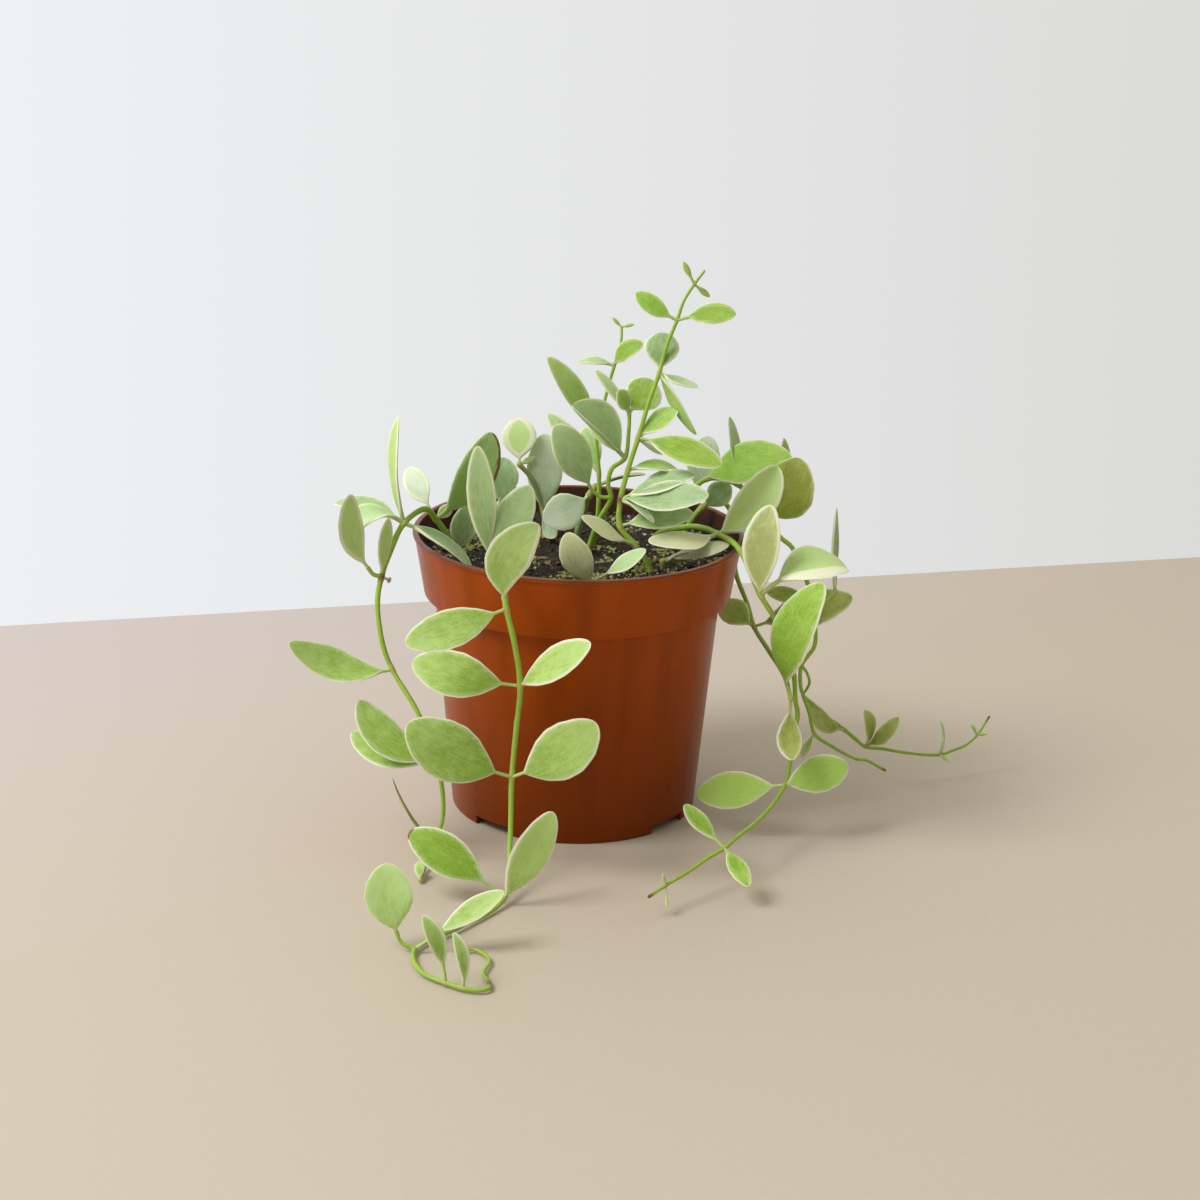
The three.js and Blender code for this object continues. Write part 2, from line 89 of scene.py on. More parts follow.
# %% [markdown]
# ## The camera
# A small plant looks its best through a short telephoto lens from a little above: the pot's rim shows
# as a flat ellipse and its sides hardly converge. The camera is aimed with three plain vectors, because
# they say where right, up and back are without any angles to untangle. It also leans over by nearly a
# degree and a half, as a camera held by hand does.

# %% Camera
AIM = Vector((7.35, 0, 68.2)) * MM
DISTANCE = 805.6 * MM
LOOKS_DOWN = math.radians(18.43)
LEANS = math.radians(1.435)
LENS, SENSOR = 75, 36  # mm, the focal length and the width of the sensor

across = Vector((1, 0, 0))
back = Vector((0, -math.cos(LOOKS_DOWN), math.sin(LOOKS_DOWN)))
upward = back.cross(across)
lens_right = across * math.cos(LEANS) + upward * math.sin(LEANS)
lens_up = upward * math.cos(LEANS) - across * math.sin(LEANS)

camera = bpy.data.objects.new("camera", bpy.data.cameras.new("camera"))
camera.data.lens = LENS
camera.data.sensor_width = SENSOR
turned_to = Matrix((lens_right, lens_up, back)).transposed().to_4x4()
camera.matrix_world = Matrix.Translation(AIM + back * DISTANCE) @ turned_to
bpy.context.scene.collection.objects.link(camera)
bpy.context.scene.camera = camera
print("camera at", [round(v, 3) for v in camera.matrix_world.translation], "metres")

# %% [markdown]
# ## Colours and nodes
# A colour picked from a screen is an sRGB code such as `#a0522d`, but Blender mixes light in linear
# numbers. One function turns the first into the second. A second small function adds any node to a
# material with its settings and links, so each material below reads as a short list.

# %% Colour and node helpers
def colour(code):
    """An sRGB hex code as the linear red, green, blue and alpha that a node takes."""
    shares = [int(code[i : i + 2], 16) / 255 for i in (1, 3, 5)]
    return tuple(c / 12.92 if c <= 0.04045 else ((c + 0.055) / 1.055) ** 2.4 for c in shares) + (1.0,)


def add(owner, kind, inputs=(), **settings):
    """Adds a node of a kind to a material or world; an input is a value or another node's output."""
    node = owner.node_tree.nodes.new(kind)
    for name, value in settings.items():
        setattr(node, name, value)
    for name, value in dict(inputs).items():
        if isinstance(value, bpy.types.NodeSocket):
            owner.node_tree.links.new(value, node.inputs[name])
        else:
            node.inputs[name].default_value = value
    return node


def new_material(name):
    """An empty material, named for the real stuff it stands for."""
    made = bpy.data.materials.new(name)
    made.use_nodes = True
    made.node_tree.nodes.clear()
    return made


A, B, MIXED = 6, 7, 2  # the colour sockets of a Mix node
print("a mid brown in linear light:", [round(c, 3) for c in colour("#8a5a3a")])

# %% [markdown]
# ## Floor, backdrop and light
# The plant stands on a matt sheet of warm beige board that ends at a pale wall. The wall is only a
# background, so the world's own colour does that job, and the board is a thin slab with a straight far
# edge. A wide soft lamp at the upper left stands for a window: it gives the soft shadows to the right.
# The world fills them, brightly from the wall and the side of the window and dimly from the room at the
# front right, and that is why the board darkens round the foot of the pot.

# %% Board colour
BOARD_FIBRE = 2 * MM
WINDOW_TINT_RUN = 0.35  # metres toward the far left, over which its colour turns cooler, a painted tint of the cool window light
board_card = new_material("matt_painted_board")
place = add(board_card, "ShaderNodeTexCoord")
fibre = add(
    board_card,
    "ShaderNodeTexNoise",
    {"Vector": place.outputs["Object"], "Scale": 1 / BOARD_FIBRE, "Detail": 3},
)
flecked = add(
    board_card,
    "ShaderNodeMix",
    {0: fibre.outputs["Fac"], A: colour("#c3b6a1"), B: colour("#c9beab")},
    data_type="RGBA",
)
where_on_board = add(board_card, "ShaderNodeSeparateXYZ", {0: place.outputs["Object"]})
far_left = add(
    board_card,
    "ShaderNodeMath",
    {0: where_on_board.outputs["Y"], 1: where_on_board.outputs["X"]},
    operation="SUBTRACT",
)
window_tint_share = add(
    board_card,
    "ShaderNodeMapRange",
    {"Value": far_left.outputs[0], "From Min": 0.0, "From Max": WINDOW_TINT_RUN},
)
# Painted light: toward the far left the board takes a cooler tint that stands in for the window's cool
# light.
window_tinted = add(
    board_card,
    "ShaderNodeMix",
    {0: window_tint_share.outputs["Result"], A: flecked.outputs[MIXED], B: colour("#c8bfba")},
    data_type="RGBA",
)
board_skin = add(
    board_card, "ShaderNodeBsdfPrincipled", {"Base Color": window_tinted.outputs[MIXED], "Roughness": 0.62}
)
add(board_card, "ShaderNodeOutputMaterial", {"Surface": board_skin.outputs["BSDF"]})
print("board material:", board_card.name)

# %% Board
BOARD_EDGE_LEFT = Vector((-225.9, 154.1, 0)) * MM
BOARD_EDGE_RIGHT = Vector((270.3, 285.2, 0)) * MM
BOARD_REACH = 3.0  # metres, well past what the camera sees
BOARD_THICKNESS = 3 * MM


def new_piece(name, points, faces, *materials):
    """An object out of points in metres and faces, linked to the scene."""
    mesh = bpy.data.meshes.new(name)
    mesh.from_pydata(points, [], faces)
    for made in materials:
        mesh.materials.append(made)
    piece = bpy.data.objects.new(name, mesh)
    bpy.context.scene.collection.objects.link(piece)
    return piece


edge_run = (BOARD_EDGE_RIGHT - BOARD_EDGE_LEFT).normalized()
toward_camera = Vector((edge_run.y, -edge_run.x, 0))
edge_middle = (BOARD_EDGE_LEFT + BOARD_EDGE_RIGHT) / 2
corners = [
    edge_middle - edge_run * BOARD_REACH,
    edge_middle + edge_run * BOARD_REACH,
    edge_middle + edge_run * BOARD_REACH + toward_camera * BOARD_REACH,
    edge_middle - edge_run * BOARD_REACH + toward_camera * BOARD_REACH,
]
down = Vector((0, 0, -BOARD_THICKNESS))
board = new_piece(
    "board",
    corners + [c + down for c in corners],
    [(3, 2, 1, 0), (4, 5, 6, 7), (0, 1, 5, 4), (1, 2, 6, 5), (2, 3, 7, 6), (3, 0, 4, 7)],
    board_card,
)
board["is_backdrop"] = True
edge_turn = math.degrees(math.atan2(edge_run.y, edge_run.x))
print("board", BOARD_REACH, "metres deep, its far edge turned", round(edge_turn, 1), "degrees")

# %% Wall colour and lamps
BRIGHT_SIDE = (-0.75, 0.66, 0.0)  # the way to the lit corner between the wall and the window
WALL_SHARE = 0.15  # the wall's tint gives way to the room's by this height, where straight up is 1

bpy.context.scene.view_settings.view_transform = "Standard"  # colours come out as the codes say
world = bpy.data.worlds.new("pale_wall")
world.use_nodes = True
world.node_tree.nodes.clear()
bpy.context.scene.world = world
direction = add(world, "ShaderNodeTexCoord")
sides = add(world, "ShaderNodeSeparateXYZ", {0: direction.outputs["Generated"]})
rightness = add(
    world, "ShaderNodeMapRange", {"Value": sides.outputs["X"], "From Min": -0.25, "From Max": 0.25}
)
wall_tint = add(
    world,
    "ShaderNodeMix",
    {0: rightness.outputs["Result"], A: colour("#f0f1f3"), B: colour("#dadad8")},
    data_type="RGBA",
)
toward_wall = add(
    world,
    "ShaderNodeVectorMath",
    {0: direction.outputs["Generated"], 1: BRIGHT_SIDE},
    operation="DOT_PRODUCT",
)
brightness = add(
    world,
    "ShaderNodeMapRange",
    {"Value": toward_wall.outputs["Value"], "From Min": -0.9, "From Max": 0.9},
)
room_tint = add(
    world,
    "ShaderNodeMix",
    {0: brightness.outputs["Result"], A: colour("#948e82"), B: colour("#fffdf8")},
    data_type="RGBA",
)
height = add(
    world, "ShaderNodeMapRange", {"Value": sides.outputs["Z"], "From Min": 0.0, "From Max": WALL_SHARE}
)
seen = add(
    world,
    "ShaderNodeMix",
    {0: height.outputs["Result"], A: wall_tint.outputs[MIXED], B: room_tint.outputs[MIXED]},
    data_type="RGBA",
)
surround = add(world, "ShaderNodeBackground", {"Color": seen.outputs[MIXED], "Strength": 1.0})
add(world, "ShaderNodeOutputWorld", {"Surface": surround.outputs["Background"]})


def softbox(name, place, target, width, watts, tint):
    """A square lamp, placed and aimed in metres."""
    lamp = bpy.data.objects.new(name, bpy.data.lights.new(name, "AREA"))
    lamp.data.shape = "SQUARE"
    lamp.data.size = width
    lamp.data.energy = watts
    lamp.data.color = colour(tint)[:3]
    lamp.location = place
    lamp.rotation_euler = (Vector(target) - Vector(place)).to_track_quat("-Z", "Y").to_euler()
    bpy.context.scene.collection.objects.link(lamp)
    return lamp


window = softbox(
    "window", place=(-0.9, -0.4, 1.2), target=(0, 0, 0.05), width=0.62, watts=15.8, tint="#fafaff"
)
print("window lamp", round(window.data.size, 2), "metres wide,", round(window.data.energy, 1), "watts")

# %% [markdown]
# ## The pot
# The pot is injection-moulded polypropylene, the thin springy plastic of plant pots. It could be made
# by bending a sheet, but a moulded pot is a turned shape, so its profile is drawn once and spun round
# the middle. The corners of the profile are rounded first, since a mould leaves no sharp edge. The
# foot's notches and the drain holes are then cut out, as the mould's own pins do.

# %% Pot sizes, in millimetres
POT_HEIGHT = 91.6
RIM_RADIUS = 52.5
LIP = 0.4  # the bead stands this far out of the rim
LIP_TOP, LIP_FOOT = 1.2, 1.4  # where the bead slopes back into the band, from the top of the rim down
RIM_THICKENING = 0.3  # the wall is this much thicker at the top of the rim
BAND_RADIUS = 49.3  # the band at its lower edge
BAND_FOOT = 72.4
BAND_SHELF = 71.6
NECK_RADIUS = 45.8  # the body just under the band
NECK_HEIGHT = 71.0
FOOT_RADIUS = 39.9
FOOT_BEVEL = 1.0
FOOT_WIDTH = 1.4  # the foot ring, across
FLOOR_LIFT = 3.2  # the floor stands clear of the ground by this
WALL = 1.0
DRAWN_IN = 0.1  # the foot and the lower edge of the band, where the mould tapers a little
PAD_RADIUS, PAD_SLOPE = 18.0, 2  # the middle of the floor reaches down to the ground again
NOTCHES, NOTCH_WIDTH, NOTCH_HEIGHT, NOTCH_DEPTH = 4, 15.0, 3.0, 5
FIRST_NOTCH = math.radians(-129)
DRAINS, DRAIN_RADIUS, DRAIN_RING, DRAIN_SIDES = 6, 3.5, 28.0, 32

POT_PROFILE = [
    (0, 0),
    (PAD_RADIUS, 0),
    (PAD_RADIUS + PAD_SLOPE, FLOOR_LIFT),
    (FOOT_RADIUS - FOOT_WIDTH, FLOOR_LIFT),
    (FOOT_RADIUS - FOOT_WIDTH, 0),
    (FOOT_RADIUS - DRAWN_IN, 0),
    (NECK_RADIUS, NECK_HEIGHT),
    (BAND_RADIUS - DRAWN_IN, BAND_SHELF),
    (RIM_RADIUS - LIP / 2, POT_HEIGHT - LIP_FOOT),
    (RIM_RADIUS + LIP, POT_HEIGHT - LIP_TOP),
    (RIM_RADIUS + LIP, POT_HEIGHT),
    (RIM_RADIUS - WALL - RIM_THICKENING, POT_HEIGHT),
    (BAND_RADIUS - WALL, BAND_SHELF + WALL),
    (NECK_RADIUS - WALL, NECK_HEIGHT + WALL),
    (FOOT_RADIUS - WALL, FLOOR_LIFT + WALL),
    (PAD_RADIUS + PAD_SLOPE, FLOOR_LIFT + WALL),
    (PAD_RADIUS - 1, WALL),
    (0, WALL),
]


def pot_inside(z):
    """The inside radius of the pot at a height, in millimetres."""
    if z < BAND_FOOT:
        widening = (NECK_RADIUS - FOOT_RADIUS) * (z - FOOT_BEVEL) / (NECK_HEIGHT - FOOT_BEVEL)
        return FOOT_RADIUS + widening - WALL
    return BAND_RADIUS + (RIM_RADIUS - BAND_RADIUS) * (z - BAND_FOOT) / (POT_HEIGHT - BAND_FOOT) - WALL


CURVE_SHARE = 0.45  # of a short side, so that the curves at its two ends don't meet


def round_corners(profile, radius, steps=4):
    """The profile with each inner corner swapped for a short curve."""
    rounded = [profile[0]]
    for before, corner, after in zip(profile, profile[1:], profile[2:]):
        here = np.array(corner, float)
        ends = []
        for neighbour in (before, after):
            way = np.array(neighbour, float) - here
            length = np.linalg.norm(way)
            ends.append(here + way / length * min(radius, length * CURVE_SHARE))
        for step in range(steps + 1):
            t = step / steps
            rounded.append(tuple((1 - t) ** 2 * ends[0] + 2 * t * (1 - t) * here + t * t * ends[1]))
    return rounded + [profile[-1]]


def spin(profile, turns):
    """Points and faces of a profile of (radius, height) spun round the vertical."""
    points, faces, rings = [], [], []
    for radius, height in profile:
        rings.append((len(points), radius > 0))
        count = turns if radius > 0 else 1
        for k in range(count):
            angle = 2 * math.pi * k / turns
            points.append((radius * math.cos(angle), radius * math.sin(angle), height))
    for (low, low_wide), (high, high_wide) in zip(rings, rings[1:]):
        for k in range(turns):
            n = (k + 1) % turns
            if low_wide and high_wide:
                faces.append((low + k, low + n, high + n, high + k))
            elif high_wide:
                faces.append((low, high + n, high + k))
            else:
                faces.append((low + k, low + n, high))
    return points, faces


CORNER_RADIUS = 0.45
POT_TURNS = 180
pot_profile = round_corners(POT_PROFILE, CORNER_RADIUS)
print("pot profile:", len(POT_PROFILE), "corners rounded to", len(pot_profile), "points")

# %% [markdown]
# ## The pot's plastic
# Polypropylene lets a little light into its skin, so it glows warmly where it is lit and goes nearly
# brown in shade. The mould leaves a satin skin with faint flow marks that run up from the foot. The
# colour also darkens towards the foot, as painted shade. Inside, the wall is dark brown, as painted
# shade where the plant and the rim shade it, and the top of its lip is a darker brown. One flat colour
# would look like painted card. So one function mixes close tints: by a noise stretched up the wall for
# the flow marks, by height for the painted shade at the foot, and by a fine noise for dust.

# %% Pot plastic
FLOW_WIDTH, FLOW_RUN, DUST_SPACING = 11 * MM, 80 * MM, 1.1 * MM
SCUFFS = 6.0  # to one flow mark, so nearly 2 mm wide


def polypropylene(name, lit, marked_tint, foot_shade_tint, specular):
    """Moulded polypropylene in close tints: flow marks, painted shade at the foot, and a little dust."""
    made = new_material(name)
    place = add(made, "ShaderNodeTexCoord")
    run = add(
        made,
        "ShaderNodeMapping",
        {"Vector": place.outputs["Object"], "Scale": (1 / FLOW_WIDTH, 1 / FLOW_WIDTH, 1 / FLOW_RUN)},
    )
    flow = add(
        made,
        "ShaderNodeTexNoise",
        {"Vector": run.outputs["Vector"], "Scale": 1.0, "Detail": 1, "Distortion": 0.3},
    )
    flow_share = add(
        made,
        "ShaderNodeMapRange",
        {"Value": flow.outputs["Fac"], "From Min": 0.35, "From Max": 0.75, "To Max": 0.6},
        interpolation_type="SMOOTHSTEP",
    )
    tint = add(
        made,
        "ShaderNodeMix",
        {0: flow_share.outputs["Result"], A: colour(lit), B: colour(marked_tint)},
        data_type="RGBA",
    )
    height = add(made, "ShaderNodeSeparateXYZ", {0: place.outputs["Object"]})
    # Painted shade: the colour darkens toward the foot, three quarters of the way to the foot's tint at
    # the ground.
    painted_foot_shade = add(
        made,
        "ShaderNodeMapRange",
        {
            "Value": height.outputs["Z"],
            "From Min": 0.0,
            "From Max": BAND_SHELF * MM,
            "To Min": 0.75,
            "To Max": 0.0,
        },
    )
    foot_shaded = add(
        made,
        "ShaderNodeMix",
        {0: painted_foot_shade.outputs["Result"], A: tint.outputs[MIXED], B: colour(foot_shade_tint)},
        data_type="RGBA",
    )
    dust = add(
        made,
        "ShaderNodeTexNoise",
        {"Vector": place.outputs["Object"], "Scale": 1 / DUST_SPACING, "Detail": 2},
    )
    dust_share = add(
        made,
        "ShaderNodeMapRange",
        {"Value": dust.outputs["Fac"], "From Min": 0.73, "From Max": 0.77, "To Max": 0.3},
    )
    dusted = add(
        made,
        "ShaderNodeMix",
        {0: dust_share.outputs["Result"], A: foot_shaded.outputs[MIXED], B: colour("#b59478")},
        data_type="RGBA",
    )
    scuff = add(
        made, "ShaderNodeTexNoise", {"Vector": run.outputs["Vector"], "Scale": SCUFFS, "Detail": 3}
    )
    gloss = add(
        made, "ShaderNodeMapRange", {"Value": scuff.outputs["Fac"], "To Min": 0.24, "To Max": 0.38}
    )
    ripple = add(
        made, "ShaderNodeBump", {"Height": flow.outputs["Fac"], "Strength": 0.15, "Distance": 0.4 * MM}
    )
    skin = add(
        made,
        "ShaderNodeBsdfPrincipled",
        {
            "Base Color": dusted.outputs[MIXED],
            "Roughness": gloss.outputs["Result"],
            "IOR": 1.49,
            "Specular IOR Level": specular,
            "Subsurface Weight": 0.2,
            "Subsurface Radius": (1.0, 0.3, 0.05),
            "Subsurface Scale": 2 * MM,
            "Normal": ripple.outputs["Normal"],
        },
    )
    add(made, "ShaderNodeOutputMaterial", {"Surface": skin.outputs["BSDF"]})
    return made


# The third tint of each is the painted shade toward the foot.
moulded_polypropylene = polypropylene("moulded_polypropylene", "#ac4a00", "#8a3a00", "#6a2c00", 0.15)
# Painted shade: the inside wall is made dark brown where the plant and the rim shade it.
shaded_inside_polypropylene = polypropylene("painted_shade_inside_polypropylene", "#4a2a1c", "#35201a", "#35201a", 0.3)
# The top of the lip is a darker brown.
darker_lip_polypropylene = polypropylene("darker_polypropylene_lip", "#7d4023", "#5c2f1c", "#5c2f1c", 0.3)
print("pot materials:", moulded_polypropylene.name, shaded_inside_polypropylene.name, darker_lip_polypropylene.name)

# %% Pot body
def smooth(piece, sharpest):
    """Smooth shading, with the edges sharper than an angle kept crisp."""
    piece.data.shade_smooth()
    piece.data.set_sharp_from_angle(angle=math.radians(sharpest))


SHADED_INSIDE_FOOT = 5  # mm, so the painted shade inside starts just above the floor
DARKER_LIP = 0.8  # mm of the lip, from its top down, that is a darker brown
points, faces = spin(pot_profile, POT_TURNS)
skins = (moulded_polypropylene, shaded_inside_polypropylene, darker_lip_polypropylene)
pot = new_piece("nursery_pot", [Vector(p) * MM for p in points], faces, *skins)
for face in pot.data.polygons:
    x, y, z = face.center / MM
    inside = math.hypot(x, y) < pot_inside(max(z, FOOT_BEVEL)) + WALL / 4
    if z > POT_HEIGHT - DARKER_LIP:
        face.material_index = skins.index(darker_lip_polypropylene)
    # Faces inside the pot take the painted shade.
    elif inside and z > SHADED_INSIDE_FOOT:
        face.material_index = skins.index(shaded_inside_polypropylene)
print("pot body:", len(pot.data.polygons), "faces before it is cut")

# %% Notches and drain holes
def cut(piece, cutters):
    """Cuts other objects out of a piece for good, and throws them away."""
    for cutter in cutters:
        boolean = piece.modifiers.new("cut", "BOOLEAN")
        boolean.object = cutter
        boolean.solver = "EXACT"
    settled = bpy.data.meshes.new_from_object(piece.evaluated_get(bpy.context.evaluated_depsgraph_get()))
    piece.modifiers.clear()
    piece.data = settled
    for cutter in cutters:
        bpy.data.objects.remove(cutter)


cutters = []
for i in range(NOTCHES):
    block = bmesh.new()
    bmesh.ops.create_cube(block, size=1)
    turn = Matrix.Rotation(FIRST_NOTCH + i * 2 * math.pi / NOTCHES, 4, "Z")
    shape = Matrix.Diagonal((NOTCH_DEPTH * MM, NOTCH_WIDTH * MM, 2 * NOTCH_HEIGHT * MM, 1))
    block.transform(turn @ Matrix.Translation((FOOT_RADIUS * MM - FOOT_WIDTH / 2 * MM, 0, 0)) @ shape)
    cutters.append(new_piece(f"notch_{i}", [], []))
    block.to_mesh(cutters[-1].data)
    block.free()
for i in range(DRAINS):
    pin = bmesh.new()
    bmesh.ops.create_cone(
        pin,
        cap_ends=True,
        segments=DRAIN_SIDES,
        radius1=DRAIN_RADIUS * MM,
        radius2=DRAIN_RADIUS * MM,
        depth=4 * WALL * MM,
    )
    turn = Matrix.Rotation((i + 0.5) * 2 * math.pi / DRAINS, 4, "Z")
    pin.transform(turn @ Matrix.Translation((DRAIN_RING * MM, 0, (FLOOR_LIFT + WALL / 2) * MM)))
    cutters.append(new_piece(f"drain_{i}", [], []))
    pin.to_mesh(cutters[-1].data)
    pin.free()
bpy.context.view_layer.update()
cut(pot, cutters)
smooth(pot, sharpest=35)
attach(pot, "root")
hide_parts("pot")
print("pot:", len(pot.data.polygons), "faces,", [round(v * 1000, 1) for v in pot.dimensions], "mm")

# %% [markdown]
# ## The potting soil
# Potting soil is dark peat with grains of pale perlite, bark crumbs, tufts of moss and a few bits of dry
# leaf. A bumpy material on a flat disc would look painted from the side. The clods are therefore real
# bumps in a fine mesh, and the grains are real small stones, each pushed out of round by its own random
# numbers.

# %% Soil sizes, in millimetres
SOIL_EDGE = 82.8  # its height where it meets the pot
SOIL_CROWN = 1.6  # how much higher the middle is
SOIL_GAP = 0.42  # kept between the soil and the pot
SOIL_FLOOR = FLOOR_LIFT + WALL + SOIL_GAP
SOIL_NECK, SOIL_SHELF = 72.1, 73.0  # where it widens into the band
SOIL_SHOULDER = 1.5  # how far its edge is rounded down
SOIL_TURNS, SOIL_RINGS = 200, 62
SMALLEST_RING = 0.012  # as a share of its edge
CLOD_SPAN, CLOD_HEIGHT = 4.5, 0.7
GRIT_SPAN, GRIT_HEIGHT = 2.1, 0.4
CRUMB_SPAN, CRUMB_HEIGHT = 2.2, 0.75


def soil_height(x, y):
    """The height of the soil in millimetres: a low crown, clods, and crumbs."""
    share = math.hypot(x, y) / pot_inside(SOIL_EDGE)
    clod = math.sin(x / CLOD_SPAN + 1) * math.cos(y / CLOD_SPAN - 0.6)
    grit = math.sin(x / GRIT_SPAN) * math.sin(y / GRIT_SPAN + 2)
    crumb = noise.fractal(Vector((x, y, 3.0)) / CRUMB_SPAN, 0.6, 2.0, 5)
    crown = SOIL_EDGE + SOIL_CROWN * (1 - min(share, 1))
    return crown + CLOD_HEIGHT * clod + GRIT_HEIGHT * grit + CRUMB_HEIGHT * crumb


print("soil stands", SOIL_EDGE, "mm high at the pot and", round(soil_height(0, 0), 1), "mm in the middle")

# %% Peat
# Peat is nearly black where it is damp and brown where it has dried, and never shines.
PEAT_CRUMB = 1.6 * MM
peat = new_material("damp_peat")
place = add(peat, "ShaderNodeTexCoord")
crumbs = add(
    peat,
    "ShaderNodeTexNoise",
    {"Vector": place.outputs["Object"], "Scale": 1 / PEAT_CRUMB, "Detail": 6, "Roughness": 0.7},
)
dryness = add(
    peat, "ShaderNodeMapRange", {"Value": crumbs.outputs["Fac"], "From Min": 0.35, "From Max": 0.75}
)
peat_tint = add(
    peat,
    "ShaderNodeMix",
    {0: dryness.outputs["Result"], A: colour("#14110c"), B: colour("#463a2a")},
    data_type="RGBA",
)
lumps = add(
    peat, "ShaderNodeBump", {"Height": crumbs.outputs["Fac"], "Strength": 0.9, "Distance": 0.8 * MM}
)
peat_skin = add(
    peat,
    "ShaderNodeBsdfPrincipled",
    {"Base Color": peat_tint.outputs[MIXED], "Roughness": 0.95, "Normal": lumps.outputs["Normal"]},
)
add(peat, "ShaderNodeOutputMaterial", {"Surface": peat_skin.outputs["BSDF"]})
print("soil material:", peat.name)

# %% Perlite, bark, moss and dry leaf
# Perlite is volcanic glass puffed up by heat, so it is pale and chalky. Bark is nearly black with brown
# splinters, living moss is a yellow green, and a dry leaf is tan. None of them shines.
def grain_material(name, dark, light, roughness, spots_mm):
    """A rough mineral or bark finish, mottled between two colours."""
    made = new_material(name)
    place = add(made, "ShaderNodeTexCoord")
    spots = add(
        made,
        "ShaderNodeTexNoise",
        {"Vector": place.outputs["Object"], "Scale": 1 / (spots_mm * MM), "Detail": 3},
    )
    tint = add(
        made,
        "ShaderNodeMix",
        {0: spots.outputs["Fac"], A: colour(dark), B: colour(light)},
        data_type="RGBA",
    )
    skin = add(
        made, "ShaderNodeBsdfPrincipled", {"Base Color": tint.outputs[MIXED], "Roughness": roughness}
    )
    add(made, "ShaderNodeOutputMaterial", {"Surface": skin.outputs["BSDF"]})
    return made


perlite = grain_material("expanded_perlite", "#7d7868", "#e4dfcf", 0.9, 0.5)
bark = grain_material("composted_bark", "#150f09", "#66512f", 0.9, 0.8)
moss = grain_material("cushion_moss", "#585c2a", "#c4c27a", 0.95, 0.3)
litter = grain_material("dried_leaf_litter", "#4a3522", "#a3825a", 0.8, 0.9)
print("grain materials:", perlite.name, bark.name, moss.name, litter.name)

# %% Soil body
edge = pot_inside(SOIL_EDGE) - SOIL_GAP
soil_profile = [
    (0, SOIL_FLOOR),
    (pot_inside(SOIL_FLOOR) - SOIL_GAP, SOIL_FLOOR),
    (NECK_RADIUS - WALL - SOIL_GAP, SOIL_NECK),
    (pot_inside(SOIL_SHELF) - SOIL_GAP, SOIL_SHELF),
    (edge, SOIL_EDGE - SOIL_SHOULDER),
]
soil_profile += [(edge * share, SOIL_EDGE) for share in np.linspace(1, SMALLEST_RING, SOIL_RINGS)]
soil_profile += [(0, SOIL_EDGE)]
points, faces = spin(soil_profile, SOIL_TURNS)
points = [(x, y, soil_height(x, y) if z == SOIL_EDGE else z) for x, y, z in points]
soil = new_piece("potting_soil", [Vector(p) * MM for p in points], faces, peat)
smooth(soil, sharpest=80)
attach(soil, "root")
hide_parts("soil")
print("soil:", len(soil.data.polygons), "faces")

# %% Grains, bark, moss and litter
stone = bmesh.new()
bmesh.ops.create_icosphere(stone, subdivisions=2, radius=1)
stone_points = np.array([v.co for v in stone.verts])
stone_faces = np.array([[v.index for v in f.verts] for f in stone.faces])
stone.free()
RIM_CLEARANCE = 1.2  # mm between the soil's edge and the middle of the outermost stone
OUT_OF_ROUND = 0.22  # of a stone's size
STANDS_OUT = 0.25  # of a stone's size, from the soil to its middle
WATERED_SIDE, DRY_SHARE = -1.0, 0.35  # radians round from the right, and what the far side keeps
WET_SIDE, MOSS_PATCH, MOSS_START = -1.7, 8, 0.35  # radians again, mm across, and the wetness it needs


def scatter(name, count, sizes, flatness, made, seed, likely):
    """Many small stones pressed into the soil, more of them where they are likely."""
    rng = np.random.default_rng(seed)
    points, faces = [], []
    while len(points) < count:
        radius = (edge - RIM_CLEARANCE) * math.sqrt(rng.uniform())
        angle = rng.uniform(0, 2 * math.pi)
        x, y = radius * math.cos(angle), radius * math.sin(angle)
        if rng.uniform() > likely(x, y):
            continue
        size = sizes[0] + (sizes[1] - sizes[0]) * rng.uniform() ** 2
        shape = stone_points * (1 + OUT_OF_ROUND * rng.standard_normal((len(stone_points), 1)))
        shape = shape * rng.uniform(0.5, 1.3, 3) * size
        turn = np.array(Matrix.Rotation(rng.uniform(0, 6.28), 3, Vector(rng.standard_normal(3))))
        lies_at = (x, y, soil_height(x, y) + STANDS_OUT * size)
        points.append(shape @ turn.T * (1, 1, flatness) + lies_at)
        faces.append(stone_faces + len(stone_points) * (len(points) - 1))
    piece = new_piece(name, (np.concatenate(points) * MM).tolist(), np.concatenate(faces).tolist(), made)
    smooth(piece, sharpest=40)
    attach(piece, "root")
    return piece


def toward_rim(x, y):
    """Grains wash out toward the rim, and most of all where the pot is watered, at the front right."""
    watered = 0.5 + 0.5 * math.cos(math.atan2(y, x) - WATERED_SIDE)
    return (math.hypot(x, y) / edge) ** 2 * (DRY_SHARE + (1 - DRY_SHARE) * watered)


def mossy(x, y):
    """Moss grows in patches, and best in the wet soil along the front of the pot."""
    wet = 0.5 + 0.5 * math.cos(math.atan2(y, x) - WET_SIDE)
    patch = noise.noise(Vector((x / MOSS_PATCH, y / MOSS_PATCH, 1.7))) * 2.0
    return max(0.0, patch + wet * math.hypot(x, y) / edge - MOSS_START)


